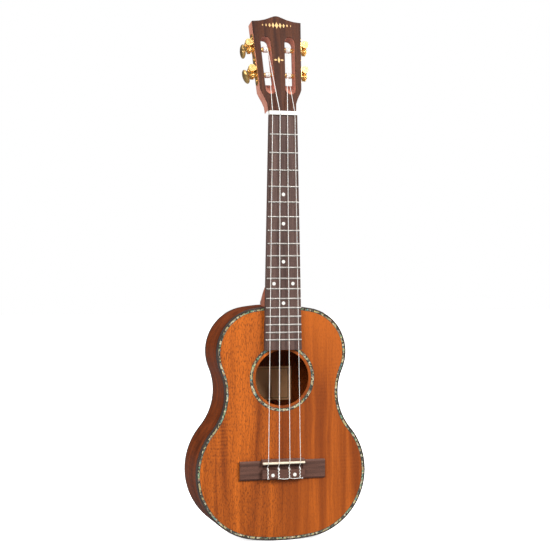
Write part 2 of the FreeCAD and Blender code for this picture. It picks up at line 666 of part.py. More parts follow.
def make_saddle():
    """Saddle blade seated in the bridge, bevelled on both sides of its crown."""
    body = new_body("saddle")
    half = "dims.saddle_thick / 2"
    profile = new_sketch(body, "saddle_profile", "YZ_Plane")
    polygon(profile, [("-dims.saddle_seat", f"dims.saddle_z - {half}"),
                      ("-dims.saddle_seat", f"dims.saddle_z + {half}"),
                      ("-dims.saddle_top + dims.saddle_back", f"dims.saddle_z + {half}"),
                      ("-dims.saddle_top", f"dims.saddle_z + {half} - dims.saddle_back"),
                      ("-dims.saddle_top", f"dims.saddle_z - {half} + dims.saddle_bevel"),
                      ("-dims.saddle_top + dims.saddle_fall", f"dims.saddle_z - {half}")])
    pad(body, profile, "2 * dims.saddle_half", both=True)


def make_bridge():
    """Tie bridge: low wings, a raised tie block, a channel and the saddle's bed."""
    body = new_body("bridge")
    wings = new_sketch(body, "wings", "YZ_Plane")
    polygon(wings, [("0", "dims.bridge_low"), ("0", "dims.bridge_high"),
                    ("-dims.wing_tall + 1.5", "dims.bridge_high"),
                    ("-dims.wing_tall", "dims.bridge_high - 2"),
                    ("-dims.wing_tall", "dims.bridge_low + 2"),
                    ("-dims.wing_tall + 1.5", "dims.bridge_low")])
    pad(body, wings, "2 * dims.wing_half", both=True)
    centre = new_sketch(body, "centre", "YZ_Plane")
    polygon(centre, [("0", "dims.block_low"), ("0", "dims.bed_high"),
                     ("-dims.bed_tall + 1", "dims.bed_high"), ("-dims.bed_tall", "dims.bed_high - 1"),
                     ("-dims.bed_tall", "dims.bed_low"), ("-dims.wing_tall", "dims.bed_low"),
                     ("-dims.wing_tall", "dims.block_high"), ("-dims.block_tall", "dims.block_high"),
                     ("-dims.block_tall", "dims.block_low + 0.8"),
                     ("-dims.block_tall + 0.8", "dims.block_low")])
    pad(body, centre, "2 * dims.centre_half + 0.8", both=True)
    channel = new_sketch(body, "channel", "YZ_Plane")
    rectangle(channel, "-20", "-dims.channel_floor", "dims.block_high", "dims.bed_low")
    pocket(body, channel, "2 * dims.centre_half - 2", both=True)
    seat_slot = new_sketch(body, "saddle_slot", "YZ_Plane")
    rectangle(seat_slot, "-20", "-dims.saddle_seat", "dims.saddle_z - dims.saddle_thick / 2",
              "dims.saddle_z + dims.saddle_thick / 2")
    pocket(body, seat_slot, "2 * dims.saddle_half", both=True)
    ties = new_sketch(body, "tie_holes", "XY_Plane", "dims.block_high + 1")
    for string in range(1, 5):
        circle(ties, string_x(string, "saddle_spacing"), "dims.tie_y", "dims.tie_radius")
    pocket(body, ties, "dims.block_high - dims.block_low + 2", against=True)
    seats = new_sketch(body, "pearl_seats", "XZ_Plane", "dims.block_tall")
    draw_pearls(seats)
    pocket(body, seats, "1", against=True)


def draw_pearls(sketch):
    """Circles of the two pearl dots on the tie block."""
    for side in (-1, 1):
        circle(sketch, f"{side} * dims.pearl_x", "dims.pearl_z", "dims.dot_radius")


def make_bridge_dots():
    """Two pearl dots on the tie block."""
    body = new_body("bridge_dots")
    sketch = new_sketch(body, "pearls", "XZ_Plane", "dims.block_tall")
    draw_pearls(sketch)
    pad(body, sketch, "1", against=True)


# ---------------------------------------------------------------- head

def draw_head(sketch, foot="0"):
    """Front outline of the head: flared foot, straight sides and a peaked top edge."""
    half, top = "dims.head_top_half", "dims.head_top"
    right = [("dims.head_foot_half", foot), ("dims.head_foot_half + 0.8", "10"),
             ("dims.head_foot_half + 3.4", "16.8"), ("dims.head_foot_half + 6.6", "23"),
             ("dims.head_corner_half", "dims.head_corner"), (half, top),
             (f"{half} * 0.72", f"{top} + 0.9"), (f"{half} * 0.46", f"{top} + 2.8"),
             (f"{half} * 0.24", f"{top} + 5.6"), (f"{half} * 0.1", "dims.head_peak - 0.5")]
    left = [(f"-({x})", y) for x, y in reversed(right)]
    polygon(sketch, right + [("0", "dims.head_peak")] + left)


def draw_slots(sketch):
    """The two string slots, round-ended, splaying slightly towards the head's top."""
    lean = "tan(dims.slot_angle * 1deg)"
    rad = "(dims.slot_wide / 2)"
    for side in (-1, 1):
        low = f"dims.slot_start + {rad}"
        high = f"dims.slot_end - {rad}"
        low_x = f"dims.slot_x + {rad} * {lean}"
        high_x = f"dims.slot_x + (dims.slot_end - dims.slot_start - {rad}) * {lean}"
        corners = []
        for step in range(7):
            angle = f"{-90 - 90 + 30 * step} * 1deg"
            corners.append((f"{side} * ({low_x} + {rad} * cos({angle}))", f"{low} + {rad} * sin({angle})"))
        for step in range(7):
            angle = f"{30 * step} * 1deg"
            corners.append((f"{side} * ({high_x} + {rad} * cos({angle}))", f"{high} + {rad} * sin({angle})"))
        polygon(sketch, corners)


def make_head():
    """Head block with the string slots, their tapered throat and the roller bores."""
    body = new_body("head_blank", "head")
    nodes.remove(body)
    plan = new_sketch(body, "head_plan", "XZ_Plane", "-dims.veneer_thick")
    draw_head(plan)
    pad(body, plan, "dims.head_thick - dims.veneer_thick", against=True)
    for side, tag in ((1, "right"), (-1, "left")):
        corner = new_sketch(body, f"throat_{tag}", "XY_Plane", "-1")
        edge = f"{side} * (dims.head_foot_half + 0.1)"
        polygon(corner, [(edge, "3"), (edge, "30"), (f"{side} * 7", "30"),
                         (f"{side} * 7", "dims.head_thick"), (f"{side} * 14", "11")])
        pocket(body, corner, "dims.throat_long + 1")
    slots = new_sketch(body, "slots", "XZ_Plane")
    draw_slots(slots)
    pocket(body, slots, "dims.head_thick + 1", against=True)
    for side, tag in ((1, "right"), (-1, "left")):
        ramp = new_sketch(body, f"ramp_{tag}", "YZ_Plane", f"{side} * (dims.slot_x + 0.4)")
        polygon(ramp, [("dims.veneer_thick", "dims.slot_start"), ("dims.head_thick", "dims.slot_start"),
                       ("dims.head_thick", "dims.slot_start + dims.ramp_long")])
        pad(body, ramp, "dims.slot_wide + 0.4", both=True)
    drills = []
    for side, tag in ((1, "right"), (-1, "left")):
        for station in ("roller_lower", "roller_upper"):
            drills += roller_drills(side, tag, station)
        drills += screw_drills(side, tag)
    bores = doc.addObject("Part::MultiFuse", "roller_bores")
    bores.Shapes = drills
    head = doc.addObject("Part::Cut", "head")
    head.Label = "head"
    head.Base = body
    head.Tool = bores
    nodes.append(head)


def side_x(along):
    """Half-width of the head's straight side at a distance along from the nut."""
    return f"(dims.head_corner_half + tan(dims.side_angle * 1deg) * (({along}) - dims.head_corner))"


def inward(x, along):
    """Place on a roller's axis, from the head's side (zero) to x, negative inside the head."""
    return f"((({x}) - {side_x(along)}) / cos(dims.side_angle * 1deg))"


def slot_edge(along):
    """Inner edge of a slot at a distance along from the nut."""
    lean = "tan(dims.slot_angle * 1deg)"
    return f"(dims.slot_x + (({along}) - dims.slot_start) * {lean} - dims.slot_wide / 2)"


def roller_drills(side, tag, station):
    """Cutters for one roller: through the rail, and blind into the centre web for its tip."""
    along = f"dims.{station}"
    frame = machine_frame(side, dim(station))
    drills = []
    for part, radius, start, end in (
            ("rail", "dims.roller_radius", f"{side_x(along)} + 1", "dims.slot_x"),
            ("web", "dims.roller_tip", "dims.slot_x", "dims.roller_inner_x - 0.3")):
        drill = doc.addObject("Part::Cylinder", f"{station}_{tag}_{part}")
        drill.setExpression("Radius", f"{radius} + dims.run_clearance")
        drill.setExpression("Height", f"{inward(start, along)} - {inward(end, along)}")
        drill.Placement = frame.multiply(Placement(Vector(0, 0, number(inward(end, along))), Rotation()))
        drills.append(drill)
    return drills


def screw_places():
    """Places of a machine plate's three screws, along it from its middle."""
    half = (dim("machine_plate_high") - dim("machine_plate_low")) / 2 - dim("lobe_radius")
    return -half, 0, half


def plate_middle():
    """Distance from the nut to the middle of the machine plates."""
    return (dim("machine_plate_high") + dim("machine_plate_low")) / 2


def screw_drills(side, tag):
    """Cutters for the pilot holes of one plate's screws."""
    frame = machine_frame(side, plate_middle())
    drills = []
    for i, place in enumerate(screw_places()):
        drill = doc.addObject("Part::Cylinder", f"pilot_{tag}_{i}")
        drill.setExpression("Radius", "dims.screw_shank + dims.run_clearance")
        drill.setExpression("Height", "dims.screw_long + 2")
        base = Vector(place, 0, -dim("screw_long"))
        drill.Placement = frame.multiply(Placement(base, Rotation()))
        drills.append(drill)
    return drills


def make_veneer():
    """Dark face veneer, open at the slots."""
    body = new_body("head_veneer", "head")
    plan = new_sketch(body, "veneer_plan", "XZ_Plane")
    draw_head(plan)
    pad(body, plan, "dims.veneer_thick", against=True)
    slots = new_sketch(body, "veneer_slots", "XZ_Plane")
    draw_slots(slots)
    pocket(body, slots, "dims.veneer_thick", against=True)


# ---------------------------------------------------------------- tuning machines

def head_point(x, deep, along):
    """Face-frame point of a head-frame point."""
    tilt = math.radians(dim("head_tilt"))
    return Vector(x, dim("head_y") + deep * math.cos(tilt) + along * math.sin(tilt),
                  dim("head_z") - deep * math.sin(tilt) + along * math.cos(tilt))


def machine_frame(side, along):
    """Row-frame placement on the head's side at s = along: z outward, x up the side, y across it."""
    lean = math.radians(dim("side_angle"))
    outward = Vector(side * math.cos(lean), 0, -math.sin(lean))
    upward = Vector(side * math.sin(lean), 0, math.cos(lean))
    across = outward.cross(upward)
    turn = Rotation(Vector(1, 0, 0), -dim("head_tilt"))
    axes = Rotation(turn.multVec(upward), turn.multVec(across), turn.multVec(outward), "ZXY")
    base = head_point(side * number(side_x(along)), dim("roller_deep"), along)
    return Placement(base + Vector(0, dim("face_y"), 0), axes)


def machine_body(label, side, along):
    """A PartDesign body in a tuning machine's own frame."""
    body = doc.addObject("PartDesign::Body", label)
    body.Label = label
    body.AllowCompound = True
    body.Placement = machine_frame(side, along)
    nodes.append(body)
    return body


def across_sign(side):
    """Which way the machine frame's y runs: +1 towards the head's back."""
    return -side


def make_plate(side, name):
    """Machine plate for one side: lobed strip, two pairs of bearing posts."""
    middle = plate_middle()
    body = machine_body(name, side, middle)
    half = "(dims.machine_plate_high - dims.machine_plate_low) / 2"
    strip = new_sketch(body, f"{name}_strip", "XY_Plane")
    rectangle(strip, f"-({half}) + dims.lobe_radius", f"{half} - dims.lobe_radius",
              "-dims.neck_half", "dims.neck_half")
    pad(body, strip, "dims.machine_plate_thick")
    for station in ("roller_lower", "roller_upper"):
        centre = f"dims.{station} - {middle}"
        pan = new_sketch(body, f"{name}_{station}_pan", "XY_Plane")
        low, high = f"{centre} - dims.machine_low", f"{centre} + dims.machine_high"
        inset = "dims.machine_plate_half - 2"
        polygon(pan, [(low, f"-({inset})"), (f"{low} + 2", "-dims.machine_plate_half"),
                      (f"{high} - 2", "-dims.machine_plate_half"), (high, f"-({inset})"),
                      (high, inset), (f"{high} - 2", "dims.machine_plate_half"),
                      (f"{low} + 2", "dims.machine_plate_half"), (low, inset)])
        pad(body, pan, "dims.machine_plate_thick")
    places = (f"-({half}) + dims.lobe_radius", "0", f"{half} - dims.lobe_radius")
    for i, place in enumerate(places):
        lobe = new_sketch(body, f"{name}_lobe_{i}", "XY_Plane")
        circle(lobe, place, "0", "dims.lobe_radius")
        pad(body, lobe, "dims.machine_plate_thick")
    holes = new_sketch(body, f"{name}_screw_holes", "XY_Plane")
    for place in places:
        circle(holes, place, "0", "dims.screw_shank + 0.1")
    pocket(body, holes, "dims.machine_plate_thick")
    for station in ("roller_lower", "roller_upper"):
        centre = f"dims.{station} - {middle}"
        add_posts(body, f"{name}_{station}", centre, side)
        hole = new_sketch(body, f"{name}_{station}_hole", "XY_Plane")
        circle(hole, f"({centre}) / cos(dims.side_angle * 1deg)", "0", "dims.roller_radius + 0.2")
        pocket(body, hole, "dims.machine_plate_thick")


def add_posts(body, name, centre, side):
    """Front and rear bearings of one worm, standing on the plate, with running bores."""
    sign = across_sign(side)
    worm = f"({centre}) / cos(dims.side_angle * 1deg) + dims.gear_distance"
    thick = "dims.post_thick"
    for tag, start, radius in (("front", "dims.post_front", "dims.post_radius"),
                               ("rear", "dims.rear_post", "dims.rear_radius")):
        depth = f"{sign} * ({start} - dims.roller_deep)"
        offset = f"-({depth})"
        round_part = new_sketch(body, f"{name}_{tag}_round", "XZ_Plane", offset)
        circle(round_part, worm, "dims.wheel_centre", radius)
        pad(body, round_part, thick, against=(sign > 0))
        foot = new_sketch(body, f"{name}_{tag}_foot", "XZ_Plane", offset)
        rectangle(foot, f"{worm} - 2.4", f"{worm} + 2.4", "0", "dims.wheel_centre")
        pad(body, foot, thick, against=(sign > 0))
        bore = new_sketch(body, f"{name}_{tag}_bore", "XZ_Plane", offset)
        circle(bore, worm, "dims.wheel_centre", "dims.shaft_radius + dims.run_clearance")
        pocket(body, bore, thick, against=(sign > 0))


def make_screws():
    """Six small round-headed screws that hold the two plates to the head."""
    shapes = []
    for side in (-1, 1):
        frame = machine_frame(side, plate_middle())
        for place in screw_places():
            shank = Part.makeCylinder(dim("screw_shank"), dim("screw_long"),
                                      Vector(place, 0, dim("machine_plate_thick") - dim("screw_long")))
            cap = Part.makeCylinder(dim("screw_head"), dim("screw_tall"),
                                    Vector(place, 0, dim("machine_plate_thick")))
            cap = cap.makeFillet(dim("screw_tall") * 0.7, [cap.Edges[0]])
            screw = shank.fuse(cap).removeSplitter()
            screw.Placement = frame
            shapes.append(screw)
    feature = doc.addObject("Part::Feature", "plate_screws")
    feature.Label = "plate_screws"
    feature.Shape = Part.makeCompound(shapes)
    nodes.append(feature)


def make_roller(tuner, side, station):
    """Roller shaft: a thin tip in the web, the spool in the slot and the seat of the wheel."""
    body = machine_body(f"roller_{tuner}", side, dim(station))
    along = f"dims.{station}"
    step = inward(f"{slot_edge(along)} + 0.5", along)
    end = inward("dims.roller_inner_x", along)
    profile = new_sketch(body, f"roller_profile_{tuner}", "XZ_Plane")
    polygon(profile, [("0", end), ("dims.roller_tip", end), ("dims.roller_tip", step),
                      ("dims.roller_radius", step), ("dims.roller_radius", "dims.wheel_low"),
                      ("0", "dims.wheel_low")])
    turn = body.newObject("PartDesign::Revolution", f"roller_turn_{tuner}")
    turn.Profile = profile
    turn.ReferenceAxis = (profile, ["V_Axis"])
    turn.Angle = 360


def make_wheel(tuner, side, station):
    """Toothed wheel on the roller's outer end, one tooth pointing between two turns of the worm."""
    body = machine_body(f"wheel_{tuner}", side, dim(station))
    disc = new_sketch(body, f"wheel_disc_{tuner}", "XY_Plane", "dims.wheel_low")
    circle(disc, "0", "0", "dims.wheel_root")
    pad(body, disc, "dims.wheel_thick")
    tooth = new_sketch(body, f"tooth_{tuner}", "XY_Plane", "dims.wheel_low")
    foot, tip = "dims.wheel_root - 0.3", "dims.wheel_tip"
    polygon(tooth, [(foot, "-dims.tooth_half_root"), (tip, "-dims.tooth_half_tip"),
                    (tip, "dims.tooth_half_tip"), (foot, "dims.tooth_half_root")])
    first = pad(body, tooth, "dims.wheel_thick")
    doc.recompute()
    ring = body.newObject("PartDesign::PolarPattern", f"teeth_{tuner}")
    ring.Originals = [first]
    ring.Axis = (disc, ["N_Axis"])
    ring.Angle = 360
    ring.Occurrences = int(dim("wheel_teeth"))
    body.Tip = ring


def make_wheel_screw(tuner, side, station):
    """Slotted screw in the middle of the wheel."""
    body = machine_body(f"wheel_screw_{tuner}", side, dim(station))
    disc = new_sketch(body, f"wheel_screw_head_{tuner}", "XY_Plane", "dims.wheel_low + dims.wheel_thick")
    circle(disc, "0", "0", "dims.wheel_screw")
    pad(body, disc, "dims.wheel_screw_tall")
    slot = new_sketch(body, f"wheel_screw_slot_{tuner}", "XY_Plane",
                      "dims.wheel_low + dims.wheel_thick + dims.wheel_screw_tall")
    rectangle(slot, "-5", "5", "-0.35", "0.35")
    pocket(body, slot, "0.6", against=True)


def make_winding(tuner, side, station, spool_x):
    """The turns of string on the roller, side by side outward from where the string comes in."""
    body = machine_body(f"winding_{tuner}", side, dim(station))
    radius = STRING_RADII[tuner - 1]
    turns = int(2 * dim("spool_half") / (2 * radius))
    start = number(inward(spool_x, dim(station))) - dim("spool_lead")
    profile = new_sketch(body, f"winding_profile_{tuner}", "XZ_Plane")
    inner, outer = dim("roller_radius"), dim("roller_radius") + 2 * radius
    low, high = Vector(inner, start, 0), Vector(inner, start + 2 * radius * turns, 0)
    profile.addGeometry(Part.LineSegment(high, low), False)
    profile.addGeometry(Part.LineSegment(low, Vector(outer - radius, start, 0)), False)
    for turn in range(turns):
        first = start + 2 * radius * turn
        points = (Vector(outer - radius, first, 0), Vector(outer, first + radius, 0),
                  Vector(outer - radius, first + 2 * radius, 0))
        profile.addGeometry(Part.Arc(*points), False)
    profile.addGeometry(Part.LineSegment(Vector(outer - radius, high.y, 0), high), False)
    coil = body.newObject("PartDesign::Revolution", f"winding_turn_{tuner}")
    coil.Profile = profile
    coil.ReferenceAxis = (profile, ["V_Axis"])
    coil.Angle = 360


def worm_placement(side, station):
    """Row-frame placement of a worm: z along its axis to the back, x towards the wheel."""
    frame = machine_frame(side, dim(station))
    axis = frame.Rotation.multVec(Vector(0, across_sign(side), 0))
    toward = frame.Rotation.multVec(Vector(-1, 0, 0))
    base = frame.multVec(Vector(dim("gear_distance"), 0, dim("wheel_centre")))
    return Placement(base, Rotation(toward, axis.cross(toward), axis, "ZXY"))


def make_worm(tuner, side, station):
    """Worm with its shaft: bearing ends, threaded middle and the stem of the button."""
    body = doc.addObject("PartDesign::Body", f"worm_{tuner}")
    body.Label = f"worm_{tuner}"
    body.Placement = worm_placement(side, station)
    nodes.append(body)
    reach = "dims.worm_pitch * dims.worm_turns / 2"
    profile = new_sketch(body, f"worm_profile_{tuner}", "XZ_Plane")
    front = "dims.post_front - dims.roller_deep"
    core_low = f"{front} + dims.post_thick + 0.15"
    core_high = "dims.rear_post - dims.roller_deep - 0.15"
    stem_end = "dims.button_centre - dims.roller_deep - dims.button_long + 1.5"
    collar_low = "dims.collar_start - dims.roller_deep"
    collar_high = "dims.collar_end - dims.roller_deep"
    polygon(profile, [("0", f"{front} + 0.4"), ("dims.shaft_radius", f"{front} + 0.4"),
                      ("dims.shaft_radius", core_low), ("dims.worm_core", core_low),
                      ("dims.worm_core", core_high), ("dims.shaft_radius", core_high),
                      ("dims.shaft_radius", collar_low), ("dims.collar_radius", collar_low),
                      ("dims.collar_radius", f"{collar_high} - 1.2"), ("dims.button_neck", collar_high),
                      ("dims.button_neck", stem_end), ("0", stem_end)])
    turn = body.newObject("PartDesign::Revolution", f"worm_turn_{tuner}")
    turn.Profile = profile
    turn.ReferenceAxis = (profile, ["V_Axis"])
    turn.Angle = 360
    thread = new_sketch(body, f"thread_profile_{tuner}", "XZ_Plane")
    polygon(thread, [("dims.worm_core - 0.3", f"-({reach}) - dims.thread_half_root"),
                     ("dims.worm_outer", f"-({reach}) - dims.thread_half_tip"),
                     ("dims.worm_outer", f"-({reach}) + dims.thread_half_tip"),
                     ("dims.worm_core - 0.3", f"-({reach}) + dims.thread_half_root")])
    doc.recompute()
    helix = body.newObject("PartDesign::AdditiveHelix", f"thread_{tuner}")
    helix.Profile = thread
    helix.ReferenceAxis = (thread, ["V_Axis"])
    helix.Mode = "pitch-turns-angle"
    helix.setExpression("Pitch", "dims.worm_pitch")
    helix.setExpression("Turns", "dims.worm_turns")
    helix.LeftHanded = False
    helix.Reversed = False


def make_button(tuner, side, station, turned):
    """Oval button with a short neck that the worm's stem enters."""
    frame = worm_placement(side, station)
    name = f"button_{tuner}"
    oval = doc.addObject("Part::Ellipsoid", f"{name}_oval")
    for prop, alias in (("Radius1", "button_long"), ("Radius2", "button_wide"), ("Radius3", "button_half")):
        oval.setExpression(prop, f"dims.{alias}")
    oval.setExpression("Placement.Base.z", "dims.button_centre - dims.roller_deep")
    neck = doc.addObject("Part::Cylinder", f"{name}_neck")
    neck.setExpression("Radius", "dims.button_neck + 0.6")
    neck.setExpression("Height", "5")
    neck.setExpression("Placement.Base.z",
                       "dims.button_centre - dims.roller_deep - dims.button_long - 2.5")
    whole = doc.addObject("Part::Fuse", f"{name}_whole")
    whole.Base = oval
    whole.Tool = neck
    stem = doc.addObject("Part::Cylinder", f"{name}_socket")
    stem.setExpression("Radius", "dims.button_neck")
    stem.setExpression("Height", "4")
    stem.setExpression("Placement.Base.z",
                       "dims.button_centre - dims.roller_deep - dims.button_long - 2.5")
    cut = doc.addObject("Part::Cut", name)
    cut.Base = whole
    cut.Tool = stem
    cut.Label = name
    cut.Placement = frame.multiply(Placement(Vector(), Rotation(Vector(0, 0, 1), turned)))
    nodes.append(cut)


# ---------------------------------------------------------------- strings

def make_string(tuner, side, station, spool_x):
    """One string: tied through the bridge, over the saddle and nut, onto its roller."""
    radius = STRING_RADII[tuner - 1]
    nut_x = number(string_x(tuner, "nut_spacing"))
    saddle_x = number(string_x(tuner, "saddle_spacing"))
    nut_z = number(fret_z(0)) + 2.0
    crown = -dim("saddle_top") - radius - dim("string_gap")
    crown_z = dim("saddle_z") - dim("saddle_thick") / 2 + dim("saddle_bevel")
    loose, tight = dim("string_bend"), dim("crown_bend")
    top = -dim("block_tall") - radius - 0.05
    under = dim("block_low") - radius - 0.12
    tie = dim("tie_y")
    reach = dim("roller_radius") + 3 * radius + 0.25
    landing = head_point(spool_x, dim("roller_deep") - reach, roller_along(station, abs(spool_x)))
    start = Vector(saddle_x, top, dim("block_high") - 1.0)
    route = [
        (start, loose),
        (Vector(saddle_x, top, under), loose),
        (Vector(saddle_x, tie, under), dim("hole_bend")),
        (Vector(saddle_x, tie, dim("block_high") + 0.8), loose),
        (Vector(saddle_x, crown, crown_z), tight),
        (Vector(nut_x, dim("string_nut_y"), nut_z), loose),
        (landing, loose),
    ]
    wires = rounded_string(route)
    profile = Part.Wire(Part.Circle(start, Vector(0, 0, 1), radius).toShape())
    shape = wires.makePipeShell([profile], True, False)
    feature = doc.addObject("Part::Feature", f"string_{tuner}")
    feature.Label = f"string_{tuner}"
    feature.Shape = shape
    feature.Placement = Placement(Vector(0, dim("face_y"), 0), Rotation())
    nodes.append(feature)
    expected = math.pi * radius ** 2 * wires.Length
    print(f"string_{tuner}: length {wires.Length:.1f} mm, volume ratio {shape.Volume / expected:.4f}")


def rounded_string(route):
    """A string's route of points, each with the most that its bend may take from the runs beside it."""
    points = [point for point, _ in route]
    edges = []
    start = points[0]
    for i in range(1, len(points) - 1):
        into = (points[i - 1] - points[i])
        out = (points[i + 1] - points[i])
        setback = min(0.4 * min(into.Length, out.Length), route[i][1])
        into.normalize()
        out.normalize()
        enter, leave = points[i] + into * setback, points[i] + out * setback
        half_turn = (math.pi - into.getAngle(out)) / 2
        radius = setback / math.tan(half_turn)
        inward = (into + out).normalize()
        centre = points[i] + inward * (radius / math.cos(half_turn))
        middle = centre + (points[i] - centre).normalize() * radius
        edges.append(Part.LineSegment(start, enter).toShape())
        edges.append(Part.Arc(enter, middle, leave).toShape())
        start = leave
    edges.append(Part.LineSegment(start, points[-1]).toShape())
    return Part.Wire(edges)


def roller_along(station, x):
    """Distance from the nut to a roller's axis at x: the rollers are square to the splayed sides."""
    return dim(station) + (number(side_x(dim(station))) - x) * math.tan(math.radians(dim("side_angle")))


# ---------------------------------------------------------------- the whole instrument

def build():
    """Make every piece."""
    make_soundboard()
    make_back()
    make_sides()
    make_edging()
    make_rosette()
    make_linings()
    make_blocks()
    make_soundboard_braces()
    make_bridge_pad()
    make_back_braces()
    make_label()
    make_neck()
    make_heel_cap()
    make_fretboard()
    make_dots()
    make_frets()
    make_nut()
    make_saddle()
    make_bridge()
    make_bridge_dots()
    make_head()
    make_veneer()
    make_plate(-1, "tuner_plate_left")
    make_plate(1, "tuner_plate_right")
    make_screws()
    for tuner, side, station, turned in TUNERS:
        spool_x = dim(station.replace("roller", "spool"))
        make_roller(tuner, side, station)
        make_wheel(tuner, side, station)
        make_wheel_screw(tuner, side, station)
        make_winding(tuner, side, station, spool_x)
        make_worm(tuner, side, station)
        make_button(tuner, side, station, turned)
        make_string(tuner, side, station, side * spool_x)


def export():
    """Check every object and write each node's shape."""
    doc.recompute()
    failed = [o.Name for o in doc.Objects if {"Invalid", "Error"} & set(o.State)]
    if failed:
        raise RuntimeError(f"failed objects: {failed}")
    os.makedirs("parts", exist_ok=True)
    for node in nodes:
        if node.Shape.isNull() or not node.Shape.isValid():
            raise RuntimeError(f"{node.Label} has no valid shape")
        node.Shape.exportStep(f"parts/{node.Label}.step")
    print(f"{len(nodes)} nodes written")


build()
export()
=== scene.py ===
"""Looks of a tenor ukulele with a slotted head and worm-geared tuners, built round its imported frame.

Row frame, metres: +Z up the neck, -Y out of the playing face, +X to the viewer's right.
"""

import json
import logging
import math
from dataclasses import dataclass
from enum import Enum

import bpy
from mathutils import Matrix, Vector


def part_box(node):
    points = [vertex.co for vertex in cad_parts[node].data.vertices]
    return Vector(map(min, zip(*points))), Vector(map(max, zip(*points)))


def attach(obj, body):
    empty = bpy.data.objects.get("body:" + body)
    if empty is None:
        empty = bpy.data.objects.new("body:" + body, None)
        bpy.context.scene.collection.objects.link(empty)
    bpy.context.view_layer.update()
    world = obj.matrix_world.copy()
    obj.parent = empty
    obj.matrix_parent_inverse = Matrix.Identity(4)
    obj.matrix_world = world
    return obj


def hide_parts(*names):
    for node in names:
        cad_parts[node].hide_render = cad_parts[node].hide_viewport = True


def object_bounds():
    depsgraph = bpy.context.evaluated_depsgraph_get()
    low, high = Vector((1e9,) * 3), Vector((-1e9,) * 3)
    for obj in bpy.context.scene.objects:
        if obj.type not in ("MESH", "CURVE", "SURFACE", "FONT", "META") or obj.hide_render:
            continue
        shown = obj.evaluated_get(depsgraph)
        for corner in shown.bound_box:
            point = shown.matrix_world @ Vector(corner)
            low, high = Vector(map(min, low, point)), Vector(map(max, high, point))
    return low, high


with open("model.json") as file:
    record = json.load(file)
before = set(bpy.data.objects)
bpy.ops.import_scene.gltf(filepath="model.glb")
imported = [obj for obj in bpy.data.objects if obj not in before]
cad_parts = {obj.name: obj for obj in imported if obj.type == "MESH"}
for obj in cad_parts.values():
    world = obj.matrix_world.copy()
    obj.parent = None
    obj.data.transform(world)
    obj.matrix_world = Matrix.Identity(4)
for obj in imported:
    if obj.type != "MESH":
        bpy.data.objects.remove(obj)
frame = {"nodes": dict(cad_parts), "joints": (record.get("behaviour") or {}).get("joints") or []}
CAD_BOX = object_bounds()
MM = 0.001
LOG = logging.getLogger("ukulele")
NODES: dict[str, bpy.types.Object] = frame["nodes"]
JOINTS: dict[str, dict] = {joint["name"]: joint for joint in frame["joints"]}
ROOT = "instrument"
HEAD_TILT = math.radians(13.5)
BUTTON_TURNS = (-16.0, 0.0, -12.0, 8.0)  # degrees that each oval stands away from upright
MERGE_GAP = 0.002 * MM
FLAT_ANGLE = math.radians(0.3)
GOLD = ("gold_metal", "gold_plate")
NYLON = ("string", "string_clear")
CREASE_ANGLE = math.radians(38)
Colour = tuple[float, float, float]
Triple = tuple[float, float, float]


class Grain(Enum):
    """Which way the long grain of a wooden piece runs: the turn that brings it to the pattern's z."""

    UPWARD = (0.0, 0.0, 0.0)
    HEAD = (HEAD_TILT, 0.0, 0.0)
    SIDEWAYS = (0.0, math.radians(90.0), 0.0)


# ------------------------------------------------------------------ shader node groups

class Graph:
    """Adds nodes to one node tree and joins their sockets."""

    def __init__(self, tree: bpy.types.NodeTree) -> None:
        """Keep the tree.

        Args:
            tree: The material's or group's node tree.
        """
        self.tree = tree

    def node(self, kind: str, inputs: dict | None = None, **settings: object) -> bpy.types.Node:
        """Add one node.

        Args:
            kind: Blender's name of the node type.
            inputs: Values or sockets for its inputs, by name or number.
            **settings: Properties of the node.

        Returns:
            The new node.
        """
        made = self.tree.nodes.new(kind)
        for key, value in settings.items():
            setattr(made, key, value)
        for key, value in (inputs or {}).items():
            if isinstance(value, bpy.types.NodeSocket):
                self.tree.links.new(value, made.inputs[key])
            else:
                made.inputs[key].default_value = value
        return made

    def math(self, operation: str, *values: object) -> bpy.types.NodeSocket:
        """Add a Math node on values or sockets and return its result."""
        node = self.node("ShaderNodeMath", dict(enumerate(values)), operation=operation)
        return node.outputs[0]

    def noise(self, vector: object, scale: float, detail: float = 2.0,
              distortion: float = 0.0) -> bpy.types.NodeSocket:
        """Add a noise texture and return its factor."""
        inputs = {"Vector": vector, "Scale": scale, "Detail": detail, "Distortion": distortion}
        return self.node("ShaderNodeTexNoise", inputs).outputs[0]

    def stretch(self, vector: object, scale: Triple) -> bpy.types.NodeSocket:
        """Scale a vector axis by axis and return it."""
        node = self.node("ShaderNodeVectorMath", {0: vector, 1: scale}, operation="MULTIPLY")
        return node.outputs[0]

    def spread(self, value: object, low: float, high: float, to_low: float = 0.0,
               to_high: float = 1.0) -> bpy.types.NodeSocket:
        """Map a value's range onto another, clamped."""
        node = self.node("ShaderNodeMapRange", {0: value, 1: low, 2: high, 3: to_low, 4: to_high})
        return node.outputs[0]

    def mix(self, factor: object, first: object, second: object) -> bpy.types.NodeSocket:
        """Mix two colours and return the result."""
        node = self.node("ShaderNodeMix", {0: factor, 6: rgba(first), 7: rgba(second)},
                         data_type="RGBA")
        return node.outputs[2]

    def bands(self, value: object,
              stops: tuple[tuple[float, Colour], ...]) -> bpy.types.NodeSocket:
        """Map a value to bands of flat colour, each from its own place up.

        Args:
            value: The value or socket.
            stops: Where each band starts, and its colour.

        Returns:
            The banded colour.
        """
        node = self.node("ShaderNodeValToRGB", {0: value})
        ramp = node.color_ramp
        ramp.interpolation = "CONSTANT"
        while len(ramp.elements) < len(stops):
            ramp.elements.new(0.5)
        for element, (place, colour) in zip(ramp.elements, stops):
            element.position = place
            element.color = rgba(colour)
        return node.outputs[0]


